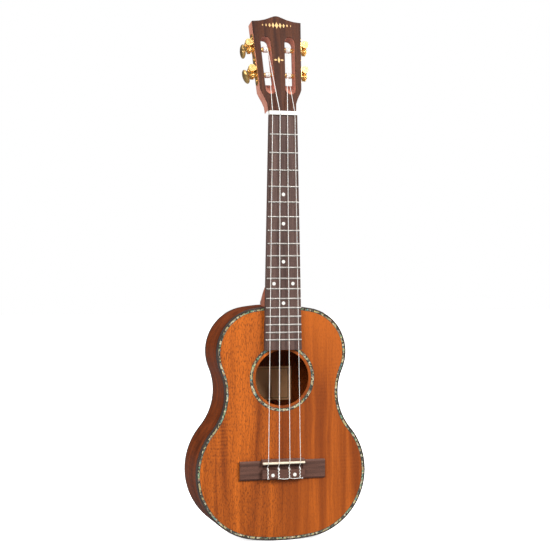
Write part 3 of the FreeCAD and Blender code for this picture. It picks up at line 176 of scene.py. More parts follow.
def rgba(colour: object) -> object:
    """Give a colour triple its alpha; leave a socket as it is."""
    return (*colour, 1.0) if isinstance(colour, tuple) and len(colour) == 3 else colour


def new_group(name: str, inputs: dict[str, tuple[str, object]],
              outputs: dict[str, str]) -> tuple[Graph, bpy.types.Node, bpy.types.Node]:
    """Start a shader node group.

    Args:
        name: The group's name.
        inputs: Socket kind and default for each input.
        outputs: Socket kind of each output.

    Returns:
        The group's graph, its input node and its output node.
    """
    tree = bpy.data.node_groups.new(name, "ShaderNodeTree")
    for label, (kind, default) in inputs.items():
        socket = tree.interface.new_socket(label, in_out="INPUT", socket_type=kind)
        if default is not None:
            socket.default_value = default
    for label, kind in outputs.items():
        tree.interface.new_socket(label, in_out="OUTPUT", socket_type=kind)
    graph = Graph(tree)
    return graph, graph.node("NodeGroupInput"), graph.node("NodeGroupOutput")


@dataclass(frozen=True)
class GrainPattern:
    """Long grain along z; each "long" is how fast a mask changes up the grain against across it."""

    sway_scale: Triple = (6.0, 6.0, 9.0)
    sway: float = 12.0 * MM
    ribbon_long: float = 0.035
    band_scale: Triple = (0.3, 0.3, 0.02)
    ribbon_share: float = 0.65
    fibre_long: float = 0.03
    dash_long: float = 0.055
    dash_finer: float = 1.7
    fleck_long: float = 0.3
    patch_scale: float = 11.0
    wander_scale: float = 26.0
    wander: float = 6.0 * MM
    fibre_height: float = 0.4

    def swayed(self, graph: Graph, vector: object) -> bpy.types.NodeSocket:
        """Let the grain wander slowly from side to side.

        Args:
            graph: The group's graph.
            vector: Coordinates on the wood.

        Returns:
            The coordinates, moved sideways.
        """
        sway = graph.noise(graph.stretch(vector, self.sway_scale), 1.0, 1.0)
        sideways = graph.math("MULTIPLY", sway, self.sway)
        shift = graph.node("ShaderNodeCombineXYZ", {0: sideways}).outputs[0]
        return graph.node("ShaderNodeVectorMath", {0: vector, 1: shift}, operation="ADD").outputs[0]

    def ribbon(self, graph: Graph, vector: object, scale: object) -> bpy.types.NodeSocket:
        """Narrow and broad ribbons, light to dark.

        Args:
            graph: The group's graph.
            vector: Coordinates on the wood.
            scale: How fine the ribbons are.

        Returns:
            The ribbon mask.
        """
        narrow = graph.noise(graph.stretch(vector, (1.0, 1.0, self.ribbon_long)), scale, 3.0, 0.3)
        broad = graph.noise(graph.stretch(vector, self.band_scale), scale, 1.0)
        blend = graph.math("ADD", graph.math("MULTIPLY", narrow, self.ribbon_share),
                           graph.math("MULTIPLY", broad, 1.0 - self.ribbon_share))
        return graph.spread(blend, 0.36, 0.64)

    def pores(self, graph: Graph, vector: object, scale: object) -> bpy.types.NodeSocket:
        """Long dashes and short flecks.

        Args:
            graph: The group's graph.
            vector: Coordinates on the wood.
            scale: How fine the flecks are.

        Returns:
            The pore mask.
        """
        finer = graph.math("MULTIPLY", scale, self.dash_finer)
        dashes = graph.noise(graph.stretch(vector, (1.0, 1.0, self.dash_long)), finer, 1.0)
        flecks = graph.noise(graph.stretch(vector, (1.0, 1.0, self.fleck_long)), scale, 1.0)
        return graph.math("MAXIMUM", graph.spread(dashes, 0.62, 0.72, 0.0, 0.8),
                          graph.spread(flecks, 0.52, 0.66, 0.0, 0.7))

    def curl(self, graph: Graph, vector: object, scale: object) -> bpy.types.NodeSocket:
        """Cross waves that come and go in patches.

        Args:
            graph: The group's graph.
            vector: Coordinates on the wood.
            scale: Waves to the metre.

        Returns:
            The curl mask.
        """
        patches = graph.spread(graph.noise(vector, self.patch_scale, 1.0), 0.46, 0.66)
        wander = graph.math("MULTIPLY", graph.noise(vector, self.wander_scale, 2.0), self.wander)
        along = graph.node("ShaderNodeSeparateXYZ", {0: vector}).outputs[2]
        turns = graph.math("MULTIPLY", scale, 2 * math.pi)
        wave = graph.math("SINE", graph.math("MULTIPLY", graph.math("ADD", wander, along), turns))
        return graph.math("MULTIPLY", graph.spread(wave, -1.0, 1.0), patches)

    def build(self) -> bpy.types.NodeTree:
        """Make the group: ribbon, fibre, pore and curl masks, and the height they give.

        Returns:
            The group's node tree.
        """
        number = "NodeSocketFloat"
        graph, start, end = new_group(
            "long_grain",
            {"Vector": ("NodeSocketVector", None), "Ribbons": (number, 90.0),
             "Fibres": (number, 900.0), "Curls": (number, 140.0)},
            dict.fromkeys(("Ribbon", "Fibre", "Pores", "Curl", "Height"), number))
        given = start.outputs
        moved = self.swayed(graph, given["Vector"])
        fibre = graph.noise(graph.stretch(moved, (1.0, 1.0, self.fibre_long)), given["Fibres"], 2.0)
        pores = self.pores(graph, moved, given["Fibres"])
        height = graph.math("SUBTRACT", graph.math("MULTIPLY", fibre, self.fibre_height), pores)
        results = {"Ribbon": self.ribbon(graph, moved, given["Ribbons"]), "Fibre": fibre,
                   "Pores": pores, "Curl": self.curl(graph, given["Vector"], given["Curls"]),
                   "Height": height}
        for label, socket in results.items():
            graph.tree.links.new(socket, end.inputs[label])
        return graph.tree


@dataclass(frozen=True)
class HandlingMarks:
    """Faint smears that vary a polished surface's roughness."""

    smear_long: float = 0.4
    smear_scale: float = 55.0
    smear_detail: float = 4.0
    smear_bend: float = 0.6

    def build(self) -> bpy.types.NodeTree:
        """Make the group: a roughness between its two inputs.

        Returns:
            The group's node tree.
        """
        number = "NodeSocketFloat"
        graph, start, end = new_group(
            "handling",
            {"Vector": ("NodeSocketVector", None), "Low": (number, 0.2), "High": (number, 0.35)},
            {"Roughness": number})
        given = start.outputs
        smear = graph.noise(graph.stretch(given["Vector"], (1.0, 1.0, self.smear_long)),
                            self.smear_scale, self.smear_detail, self.smear_bend)
        span = graph.math("SUBTRACT", given["High"], given["Low"])
        rough = graph.math("ADD", given["Low"], graph.math("MULTIPLY", span, smear))
        graph.tree.links.new(rough, end.inputs["Roughness"])
        return graph.tree


@dataclass(frozen=True)
class ShellPattern:
    """Small uneven slips of abalone: a colour for each slip, with wavy growth lines."""

    slips: tuple[tuple[float, Colour], ...] = (
        (0.00, (0.020, 0.016, 0.010)), (0.40, (0.46, 0.37, 0.18)), (0.56, (0.16, 0.32, 0.17)),
        (0.66, (0.66, 0.58, 0.38)), (0.78, (0.32, 0.18, 0.12)), (0.86, (0.09, 0.24, 0.24)),
        (0.92, (0.55, 0.46, 0.18)))
    line: Colour = (0.10, 0.10, 0.07)
    line_way: Triple = (1.0, 2.4, 1.0)
    line_scale: float = 900.0
    line_bend: float = 1.6
    line_share: float = 0.55
    glow: Colour = (0.60, 0.72, 0.60)
    glow_scale: float = 420.0
    glow_bend: float = 0.8
    glow_share: float = 0.25

    def build(self) -> bpy.types.NodeTree:
        """Make the group: the shell's colour and the height of its growth lines.

        Returns:
            The group's node tree.
        """
        graph, start, end = new_group(
            "shell_slips",
            {"Vector": ("NodeSocketVector", None), "Slips": ("NodeSocketFloat", 420.0)},
            {"Colour": "NodeSocketColor", "Height": "NodeSocketFloat"})
        vector = start.outputs["Vector"]
        cells = graph.node("ShaderNodeTexVoronoi", {"Vector": vector, "Scale": start.outputs["Slips"]})
        pick = graph.node("ShaderNodeSeparateColor", {0: cells.outputs["Color"]}).outputs[0]
        lines = graph.noise(graph.stretch(vector, self.line_way), self.line_scale, 2.0, self.line_bend)
        lined = graph.mix(graph.spread(lines, 0.40, 0.62, 0.0, self.line_share),
                          graph.bands(pick, self.slips), self.line)
        glow = graph.noise(vector, self.glow_scale, 1.0, self.glow_bend)
        final = graph.mix(graph.spread(glow, 0.5, 0.75, 0.0, self.glow_share), lined, self.glow)
        graph.tree.links.new(final, end.inputs["Colour"])
        graph.tree.links.new(lines, end.inputs["Height"])
        return graph.tree


# ------------------------------------------------------------------ finishes

@dataclass(frozen=True)
class Finish:
    """What every finish has: a name and the plain settings of its surface."""

    name: str

    def start(self) -> tuple[bpy.types.Material, Graph, bpy.types.Node, bpy.types.NodeSocket]:
        """Make an empty material.

        Returns:
            The material, its graph, its surface shader and the piece's own coordinates.
        """
        material = bpy.data.materials.new(self.name)
        material.use_nodes = True
        graph = Graph(material.node_tree)
        shader = material.node_tree.nodes["Principled BSDF"]
        place = graph.node("ShaderNodeTexCoord").outputs["Object"]
        return material, graph, shader, place

    def handle(self, graph: Graph, shader: bpy.types.Node, place: bpy.types.NodeSocket,
               low: float, high: float) -> None:
        """Vary the roughness by handling marks.

        Args:
            graph: The material's graph.
            shader: The surface shader.
            place: The piece's own coordinates.
            low: Roughness where it is smoothest.
            high: Roughness where it is dullest.
        """
        marks = graph.node("ShaderNodeGroup", node_tree=GROUPS["handling"])
        graph.tree.links.new(place, marks.inputs["Vector"])
        marks.inputs["Low"].default_value = low
        marks.inputs["High"].default_value = high
        graph.tree.links.new(marks.outputs["Roughness"], shader.inputs["Roughness"])

    def bump(self, graph: Graph, shader: bpy.types.Node, height: bpy.types.NodeSocket,
             distance: float, strength: float) -> None:
        """Raise the surface by a height."""
        node = graph.node("ShaderNodeBump", {"Height": height, "Distance": distance,
                                             "Strength": strength})
        graph.tree.links.new(node.outputs[0], shader.inputs["Normal"])


@dataclass(frozen=True)
class WoodFinish(Finish):
    """Wood under a thin satin lacquer."""

    light: Colour
    dark: Colour
    pore: Colour
    grain: Grain = Grain.UPWARD
    ribbons: float = 90.0
    fibres: float = 900.0
    curls: float = 140.0
    curl_share: float = 0.0
    pore_share: float = 0.6
    smooth: float = 0.32
    rough: float = 0.48
    lacquer: float = 0.25
    shine: float = 0.2
    fibre_share: float = 0.45
    lacquer_rough: float = 0.22
    grain_height: float = 0.06 * MM
    offset: Triple = (0.0, 0.0, 0.0)

    def masks(self, graph: Graph, place: bpy.types.NodeSocket) -> bpy.types.bpy_prop_collection:
        """Lay the long grain along the piece and return its masks.

        Args:
            graph: The material's graph.
            place: The piece's own coordinates.

        Returns:
            The outputs of the long grain.
        """
        vector = graph.node("ShaderNodeMapping", {"Vector": place, "Rotation": self.grain.value,
                                                  "Location": self.offset}).outputs[0]
        grain = graph.node("ShaderNodeGroup", node_tree=GROUPS["long_grain"])
        graph.tree.links.new(vector, grain.inputs["Vector"])
        for label, value in (("Ribbons", self.ribbons), ("Fibres", self.fibres),
                             ("Curls", self.curls)):
            grain.inputs[label].default_value = value
        return grain.outputs

    def ground(self, graph: Graph, place: bpy.types.NodeSocket,
               masks: bpy.types.bpy_prop_collection) -> bpy.types.NodeSocket:
        """Colour of the ribbons and fibres.

        Args:
            graph: The material's graph.
            place: The piece's own coordinates.
            masks: The grain's masks.

        Returns:
            The colour.
        """
        colour = graph.mix(masks["Ribbon"], self.light, self.dark)
        fibre = graph.spread(masks["Fibre"], 0.35, 0.7, 0.0, self.fibre_share)
        return graph.mix(fibre, colour, self.dark)

    def shares(self, graph: Graph, place: bpy.types.NodeSocket) -> tuple[object, object]:
        """Shares of curl and of pores: the same all over."""
        return self.curl_share, self.pore_share

    def seam(self, graph: Graph, place: bpy.types.NodeSocket,
             colour: bpy.types.NodeSocket) -> bpy.types.NodeSocket:
        """One piece of wood has no seam."""
        return colour

    def build(self) -> bpy.types.Material:
        """Make the material.

        Returns:
            The material.
        """
        material, graph, shader, place = self.start()
        masks = self.masks(graph, place)
        colour = self.ground(graph, place, masks)
        curl, pores = self.shares(graph, place)
        colour = graph.mix(graph.math("MULTIPLY", masks["Curl"], curl), colour, self.light)
        colour = graph.mix(graph.math("MULTIPLY", masks["Pores"], pores), colour, self.pore)
        colour = self.seam(graph, place, colour)
        graph.tree.links.new(colour, shader.inputs["Base Color"])
        self.handle(graph, shader, place, self.smooth, self.rough)
        self.bump(graph, shader, masks["Height"], self.grain_height, 0.6)
        shader.inputs["Coat Weight"].default_value = self.lacquer
        shader.inputs["Coat Roughness"].default_value = self.lacquer_rough
        shader.inputs["Specular IOR Level"].default_value = self.shine
        return material


@dataclass(frozen=True)
class MatchedPlates(WoodFinish):
    """Two matched plates: curl at the waist's edges, pale upper bout, dark strip near the seam."""

    waist: float = 160.0 * MM
    curl_from: float = 35.0 * MM
    curl_full: float = 85.0 * MM
    curl_high: tuple[float, float] = (20.0 * MM, 80.0 * MM)
    curl_elsewhere: float = 0.15
    pores_change: tuple[float, float] = (-15.0 * MM, 20.0 * MM)
    pores_right: float = 0.35
    bout: tuple[float, float] = (190.0 * MM, 270.0 * MM)
    bout_paler: float = 0.55
    strip_at: float = 8.0 * MM
    strip_half: tuple[float, float] = (2.0 * MM, 30.0 * MM)
    strip_darker: float = 0.42
    seam_half: tuple[float, float] = (0.1 * MM, 0.5 * MM)
    seam_darker: float = 0.45

    def ground(self, graph: Graph, place: bpy.types.NodeSocket,
               masks: bpy.types.bpy_prop_collection) -> bpy.types.NodeSocket:
        """Ribbons and fibres, paler in the upper bout and darker beside the seam.

        Args:
            graph: The material's graph.
            place: The piece's own coordinates.
            masks: The grain's masks.

        Returns:
            The colour.
        """
        colour = super().ground(graph, place, masks)
        parts = graph.node("ShaderNodeSeparateXYZ", {0: place}).outputs
        upper = graph.spread(parts[2], *self.bout, 0.0, self.bout_paler)
        colour = graph.mix(upper, colour, self.light)
        away = graph.math("ABSOLUTE", graph.math("SUBTRACT", parts[0], self.strip_at))
        strip = graph.spread(away, *self.strip_half, self.strip_darker, 0.0)
        return graph.mix(strip, colour, self.dark)

    def shares(self, graph: Graph, place: bpy.types.NodeSocket) -> tuple[object, object]:
        """Curl at the edges of the waist; pores mostly in the left plate.

        Args:
            graph: The material's graph.
            place: The piece's own coordinates.

        Returns:
            The share of curl and the share of pores.
        """
        parts = graph.node("ShaderNodeSeparateXYZ", {0: place}).outputs
        across = graph.math("ABSOLUTE", parts[0])
        high = graph.math("ABSOLUTE", graph.math("SUBTRACT", parts[2], self.waist))
        edges = graph.spread(across, self.curl_from, self.curl_full, 0.0, self.curl_share)
        curl = graph.math("MULTIPLY", edges, graph.spread(high, *self.curl_high, 1.0,
                                                          self.curl_elsewhere))
        pores = graph.spread(parts[0], *self.pores_change, self.pore_share,
                             self.pore_share * self.pores_right)
        return curl, pores

    def seam(self, graph: Graph, place: bpy.types.NodeSocket,
             colour: bpy.types.NodeSocket) -> bpy.types.NodeSocket:
        """A hairline where the plates are glued.

        Args:
            graph: The material's graph.
            place: The piece's own coordinates.
            colour: The colour of the plates.

        Returns:
            The colour with the seam in it.
        """
        across = graph.node("ShaderNodeSeparateXYZ", {0: place}).outputs[0]
        line = graph.spread(graph.math("ABSOLUTE", across), *self.seam_half, self.seam_darker, 0.0)
        return graph.mix(line, colour, self.pore)


@dataclass(frozen=True)
class MetalFinish(Finish):
    """Plated or bare metal, with fine wiping marks and darker spots of wear."""

    colour: Colour
    worn: Colour
    smooth: float
    rough: float
    spot_scale: float = 240.0
    spot_share: float = 0.55
    wipe_scale: float = 1600.0
    wipe_height: float = 0.01 * MM

    def build(self) -> bpy.types.Material:
        """Make the material.

        Returns:
            The material.
        """
        material, graph, shader, place = self.start()
        spots = graph.spread(graph.noise(place, self.spot_scale, 4.0, 0.4), 0.52, 0.72, 0.0,
                             self.spot_share)
        graph.tree.links.new(graph.mix(spots, self.colour, self.worn), shader.inputs["Base Color"])
        shader.inputs["Metallic"].default_value = 1.0
        self.handle(graph, shader, place, self.smooth, self.rough)
        self.bump(graph, shader, graph.noise(place, self.wipe_scale, 2.0), self.wipe_height, 0.5)
        return material


@dataclass(frozen=True)
class ShellFinish(Finish):
    """Slips of abalone, or plain white pearl, polished flush."""

    slips: float = 420.0
    pearl: Colour | None = None
    pearl_share: float = 0.88
    smooth: float = 0.10
    rough: float = 0.24
    line_height: float = 0.02 * MM
    polish: float = 0.6
    polish_rough: float = 0.08

    def build(self) -> bpy.types.Material:
        """Make the material.

        Returns:
            The material.
        """
        material, graph, shader, place = self.start()
        shell = graph.node("ShaderNodeGroup", node_tree=GROUPS["shell_slips"])
        graph.tree.links.new(place, shell.inputs["Vector"])
        shell.inputs["Slips"].default_value = self.slips
        colour = shell.outputs["Colour"]
        if self.pearl:
            colour = graph.mix(self.pearl_share, colour, self.pearl)
        graph.tree.links.new(colour, shader.inputs["Base Color"])
        self.handle(graph, shader, place, self.smooth, self.rough)
        self.bump(graph, shader, shell.outputs["Height"], self.line_height, 0.4)
        shader.inputs["Coat Weight"].default_value = self.polish
        shader.inputs["Coat Roughness"].default_value = self.polish_rough
        return material


@dataclass(frozen=True)
class PlainFinish(Finish):
    """Binding, bone, nylon and gilding: one colour that clouds and specks slightly."""

    colour: Colour
    cloud: Colour
    smooth: float = 0.25
    rough: float = 0.42
    lacquer: float = 0.0
    cloud_scale: float = 60.0
    bump_size: float = 0.02 * MM
    through: float = 0.0
    speck_scale: float = 900.0
    glow_depth: Triple = (2.0 * MM, 1.8 * MM, 1.5 * MM)

    def build(self) -> bpy.types.Material:
        """Make the material.

        Returns:
            The material.
        """
        material, graph, shader, place = self.start()
        cloud = graph.spread(graph.noise(place, self.cloud_scale, 4.0, 0.3), 0.4, 0.7)
        graph.tree.links.new(graph.mix(cloud, self.colour, self.cloud), shader.inputs["Base Color"])
        self.handle(graph, shader, place, self.smooth, self.rough)
        self.bump(graph, shader, graph.noise(place, self.speck_scale, 3.0), self.bump_size, 0.5)
        shader.inputs["Coat Weight"].default_value = self.lacquer
        shader.inputs["Subsurface Weight"].default_value = self.through
        shader.inputs["Subsurface Radius"].default_value = self.glow_depth
        return material


@dataclass(frozen=True)
class LabelFinish(Finish):
    """Aged paper with a plain ruled border and nothing printed inside it."""

    paper: Colour
    stain: Colour
    ink: Colour
    middle: tuple[float, float] = (0.0, 190.0 * MM)
    half: tuple[float, float] = (31.0 * MM, 22.0 * MM)
    rule_from: float = 0.84
    rule_to: float = 0.88
    rule_share: float = 0.7
    smooth: float = 0.7
    rough: float = 0.9
    fibre_scale: float = 700.0
    fibre_height: float = 0.03 * MM

    def build(self) -> bpy.types.Material:
        """Make the material.

        Returns:
            The material.
        """
        material, graph, shader, place = self.start()
        cloud = graph.spread(graph.noise(place, 45.0, 5.0, 0.4), 0.42, 0.75, 0.0, 0.7)
        colour = graph.mix(cloud, self.paper, self.stain)
        parts = graph.node("ShaderNodeSeparateXYZ", {0: place})
        reach = [graph.math("DIVIDE", graph.math("ABSOLUTE", graph.math(
            "SUBTRACT", parts.outputs[axis], self.middle[i])), self.half[i])
            for i, axis in enumerate((0, 2))]
        edge = graph.math("MAXIMUM", *reach)
        rule = graph.math("MULTIPLY", graph.math("GREATER_THAN", edge, self.rule_from),
                          graph.math("LESS_THAN", edge, self.rule_to))
        colour = graph.mix(graph.math("MULTIPLY", rule, self.rule_share), colour, self.ink)
        graph.tree.links.new(colour, shader.inputs["Base Color"])
        self.handle(graph, shader, place, self.smooth, self.rough)
        self.bump(graph, shader, graph.noise(place, self.fibre_scale, 4.0), self.fibre_height, 0.5)
        return material


GROUPS: dict[str, bpy.types.NodeTree] = {}
FINISHES: tuple[Finish, ...] = (
    MatchedPlates("koa_top", (0.62, 0.145, 0.014), (0.23, 0.046, 0.006), (0.07, 0.018, 0.006),
                  curls=230.0, curl_share=0.40, pore_share=0.80, lacquer=0.06),
    WoodFinish("koa_side", (0.26, 0.052, 0.009), (0.085, 0.017, 0.003), (0.03, 0.008, 0.003),
               curl_share=0.25, lacquer=0.03, shine=0.04, offset=(0.3, 0.2, 0.1)),
    WoodFinish("mahogany", (0.52, 0.20, 0.12), (0.36, 0.12, 0.07), (0.14, 0.04, 0.02),
               ribbons=140.0, lacquer=0.1),
    # Paler copy of mahogany for the head: the extra paleness is painted light falling on its left side.
    WoodFinish("head_mahogany_painted_lit", (0.72, 0.33, 0.24), (0.56, 0.22, 0.15), (0.24, 0.08, 0.05),
               grain=Grain.HEAD, ribbons=160.0, pore_share=0.4, lacquer=0.1),
    WoodFinish("veneer", (0.125, 0.038, 0.015), (0.036, 0.011, 0.006), (0.012, 0.005, 0.003),
               grain=Grain.HEAD, ribbons=190.0, fibres=1500.0, lacquer=0.05, shine=0.12),
    WoodFinish("rosewood_board", (0.16, 0.095, 0.078), (0.070, 0.040, 0.034), (0.02, 0.012, 0.010),
               ribbons=260.0, fibres=2000.0, smooth=0.42, rough=0.6, lacquer=0.0),
    WoodFinish("rosewood_bridge", (0.20, 0.092, 0.066), (0.078, 0.037, 0.027), (0.02, 0.010, 0.008),
               grain=Grain.SIDEWAYS, ribbons=260.0, fibres=2000.0, smooth=0.40, rough=0.56,
               lacquer=0.0),
    WoodFinish("spruce", (0.74, 0.56, 0.36), (0.60, 0.40, 0.22), (0.40, 0.24, 0.12), ribbons=420.0,
               smooth=0.6, rough=0.8, lacquer=0.0),
    MetalFinish("gold_plate", (0.95, 0.62, 0.23), (0.62, 0.36, 0.12), 0.20, 0.34),
    MetalFinish("fret_wire", (0.58, 0.55, 0.51), (0.38, 0.36, 0.33), 0.22, 0.38),
    ShellFinish("abalone"),
    ShellFinish("pearl", pearl=(0.88, 0.87, 0.82)),
    PlainFinish("binding_black", (0.030, 0.018, 0.014), (0.050, 0.028, 0.020), 0.34, 0.5, 0.05),
    PlainFinish("bone", (0.90, 0.88, 0.83), (0.84, 0.80, 0.72), 0.22, 0.36, 0.2, through=0.1),
    PlainFinish("ivory_bone", (0.78, 0.70, 0.54), (0.70, 0.61, 0.45), 0.22, 0.36, 0.1),
    PlainFinish("string_clear", (0.88, 0.86, 0.82), (0.78, 0.76, 0.72), 0.18, 0.3, 0.3, 200.0,
                0.004 * MM, 0.25),
    PlainFinish("ornament_gold", (0.80, 0.50, 0.19), (0.66, 0.38, 0.13), 0.35, 0.5, 0.0, 300.0),
    LabelFinish("label_paper", (0.95, 0.52, 0.25), (0.76, 0.38, 0.17), (0.32, 0.17, 0.08)),
)
MATERIALS: dict[str, bpy.types.Material] = {}


def build_finishes() -> None:
    """Make the node groups and every material."""
    GROUPS["long_grain"] = GrainPattern().build()
    GROUPS["handling"] = HandlingMarks().build()
    GROUPS["shell_slips"] = ShellPattern().build()
    for finish in FINISHES:
        MATERIALS[finish.name] = finish.build()


# ------------------------------------------------------------------ modelling helpers

def deselect() -> None:
    """Leave edit mode and select nothing."""
    if bpy.context.object and bpy.context.object.mode != "OBJECT":
        bpy.ops.object.mode_set(mode="OBJECT")
    bpy.ops.object.select_all(action="DESELECT")


def activate(piece: bpy.types.Object) -> None:
    """Make one piece the only selected and active one.

    Args:
        piece: The piece.
    """
    deselect()
    piece.select_set(True)
    bpy.context.view_layer.objects.active = piece


def dress(piece: bpy.types.Object, finish: str) -> None:
    """Give a piece or a CAD node one material."""
    if piece.material_slots:
        for slot in piece.material_slots:
            slot.material = MATERIALS[finish]
    else:
        piece.data.materials.append(MATERIALS[finish])


def settle(piece: bpy.types.Object, matrix: Matrix | None = None) -> None:
    """Move a piece's place into its mesh.

    Args:
        piece: The piece.
        matrix: Where it goes first, if it was made at the origin.
    """
    activate(piece)
    if matrix is not None:
        piece.matrix_world = matrix @ piece.matrix_world
    bpy.ops.object.transform_apply(location=True, rotation=True, scale=True)


def finish_piece(piece: bpy.types.Object, body: str, slot: str, finish: str,
                 replaces: tuple[str, ...] = (), angle: float = 35.0) -> None:
    """Smooth a finished piece, dress it and fasten it to its body.

    Args:
        piece: The piece, with its place in its mesh.
        body: The CAD body that it rides on.
        slot: The record's material slot; not used.
        finish: The material.
        replaces: CAD nodes that it stands for.
        angle: Edges sharper than this stay sharp, in degrees.
    """
    activate(piece)
    bpy.ops.object.shade_smooth_by_angle(angle=math.radians(angle))
    weigh = piece.modifiers.new("flat_faces_first", "WEIGHTED_NORMAL")
    weigh.keep_sharp = True
    weigh.weight = 90
    bpy.ops.object.modifier_apply(modifier=weigh.name)
    dress(piece, finish)
    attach(piece, body)
    if replaces:
        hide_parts(*replaces)
    deselect()
    LOG.info("%s on %s: %d faces", piece.name, body, len(piece.data.polygons))


def refine(node: str, name: str, edge: float = 0.0, segments: int = 2) -> bpy.types.Object:
    """Copy a CAD node as one closed surface with softened edges.

    Args:
        node: The CAD node.
        name: The new piece's name.
        edge: Width of the rounding along its edges, in metres.
        segments: Faces across the rounding.

    Returns:
        The copy.
    """
    piece = bpy.data.objects.new(name, NODES[node].data.copy())
    piece.data.name = name
    bpy.context.scene.collection.objects.link(piece)
    activate(piece)
    bpy.ops.object.mode_set(mode="EDIT")
    bpy.ops.mesh.select_all(action="SELECT")
    bpy.ops.mesh.remove_doubles(threshold=MERGE_GAP)
    bpy.ops.mesh.dissolve_limited(angle_limit=FLAT_ANGLE)
    bpy.ops.object.mode_set(mode="OBJECT")
    if "custom_normal" in piece.data.attributes:
        piece.data.attributes.remove(piece.data.attributes["custom_normal"])
    if edge:
        bevel = piece.modifiers.new("softened_edges", "BEVEL")
        bevel.width = edge
        bevel.segments = segments
        bevel.limit_method = "ANGLE"
        bevel.angle_limit = CREASE_ANGLE
        bevel.use_clamp_overlap = True
        bevel.harden_normals = False
        bpy.ops.object.modifier_apply(modifier=bevel.name)
    return piece


def remake(node: str, name: str, body: str, slot: str, finish: str, edge: float = 0.0,
           segments: int = 2, angle: float = 35.0) -> None:
    """Refine a CAD node into a finished piece that stands for it.

    Args:
        node: The CAD node.
        name: The new piece's name.
        body: The CAD body that it rides on.
        slot: The record's material slot.
        finish: The material.
        edge: Width of the rounding along its edges.
        segments: Faces across the rounding.
        angle: Edges sharper than this stay sharp, in degrees.
    """
    finish_piece(refine(node, name, edge, segments), body, slot, finish, (node,), angle)


def tube(name: str, points: list[Vector], radius: float, sides: int = 3) -> bpy.types.Object:
    """A round strand along a smooth curve, as a mesh.

    Args:
        name: The piece's name.
        points: Points of the strand's route.
        radius: The strand's radius.
        sides: Bevel resolution; more makes it rounder.

    Returns:
        The strand.
    """
    curve = bpy.data.curves.new(name, "CURVE")
    curve.dimensions = "3D"
    curve.bevel_depth = radius
    curve.bevel_resolution = sides
    curve.use_fill_caps = True
    curve.resolution_u = 6
    spline = curve.splines.new("NURBS")
    spline.points.add(len(points) - 1)
    for point, place in zip(spline.points, points):
        point.co = (*place, 1.0)
    spline.order_u = 3
    spline.use_endpoint_u = True
    strand = bpy.data.objects.new(name, curve)
    bpy.context.scene.collection.objects.link(strand)
    activate(strand)
    bpy.ops.object.convert(target="MESH")
    return bpy.context.object


def join(name: str, pieces: list[bpy.types.Object]) -> bpy.types.Object:
    """Join pieces that are one part into one mesh.

    Args:
        name: The joined piece's name.
        pieces: The pieces; the rest join the first.

    Returns:
        The joined piece.
    """
    deselect()
    for piece in pieces:
        piece.select_set(True)
    bpy.context.view_layer.objects.active = pieces[0]
    if len(pieces) > 1:
        bpy.ops.object.join()
    joined = bpy.context.view_layer.objects.active
    joined.name = name
    joined.data.name = name
    return joined


# ------------------------------------------------------------------ the body

@dataclass
class SoundBox:
    """The hollow body: plates, bent sides, edging and what can be seen through the soundhole."""

    binding_edge: float = 0.5 * MM
    as_drawn: tuple[tuple[str, str], ...] = (
        ("dark_lines", "binding_black"), ("front_purfling", "abalone"), ("rosette", "abalone"),
        ("front_lining", "spruce"), ("back_lining", "spruce"), ("soundboard_braces", "spruce"),
        ("back_braces", "spruce"), ("neck_block", "mahogany"), ("tail_block", "mahogany"),
        ("bridge_pad", "rosewood_bridge"), ("label", "label_paper"))

    def build(self) -> None:
        """Refine and dress the body's pieces."""
        remake("soundboard", "koa_soundboard", ROOT, "koa_top", "koa_top")
        remake("back_plate", "koa_back", ROOT, "koa_side", "koa_side")
        for node in ("side_left", "side_right"):
            remake(node, f"bent_{node}", ROOT, "koa_side", "koa_side")
        for node in ("front_binding", "back_binding"):
            remake(node, f"{node}_strip", ROOT, "binding", "binding_black", self.binding_edge)
        for node, finish in self.as_drawn:
            dress(NODES[node], finish)
        LOG.info("sound box dressed")


@dataclass
class Bridge:
    """Tie bridge, saddle and pearl dots."""

    edge: float = 0.45 * MM
    saddle_edge: float = 0.7 * MM

    def build(self) -> None:
        """Refine the bridge and the saddle."""
        remake("bridge", "tie_bridge", ROOT, "dark_wood", "rosewood_bridge", self.edge, 3)
        remake("saddle", "saddle_blade", ROOT, "bone", "ivory_bone", self.saddle_edge, 3)
        dress(NODES["bridge_dots"], "pearl")


@dataclass
class Neck:
    """Neck, heel, fretboard, frets, dots and nut."""

    edge: float = 0.6 * MM
    cap_edge: float = 0.4 * MM
    board_edge: float = 0.25 * MM
    fret_edge: float = 0.15 * MM
    nut_edge: float = 0.3 * MM

    def build(self) -> None:
        """Refine and dress the neck's pieces."""
        dark = ("dark_wood", "rosewood_board")
        remake("neck", "carved_neck", ROOT, "mahogany", "mahogany", self.edge, angle=50.0)
        remake("heel_cap", "heel_cap_wood", ROOT, *dark, self.cap_edge)
        remake("fretboard", "rosewood_fretboard", ROOT, *dark, self.board_edge)
        remake("frets", "fret_wires", ROOT, "fret_metal", "fret_wire", self.fret_edge)
        remake("nut", "bone_nut", ROOT, "bone", "bone", self.nut_edge)
        dress(NODES["position_dots"], "pearl")


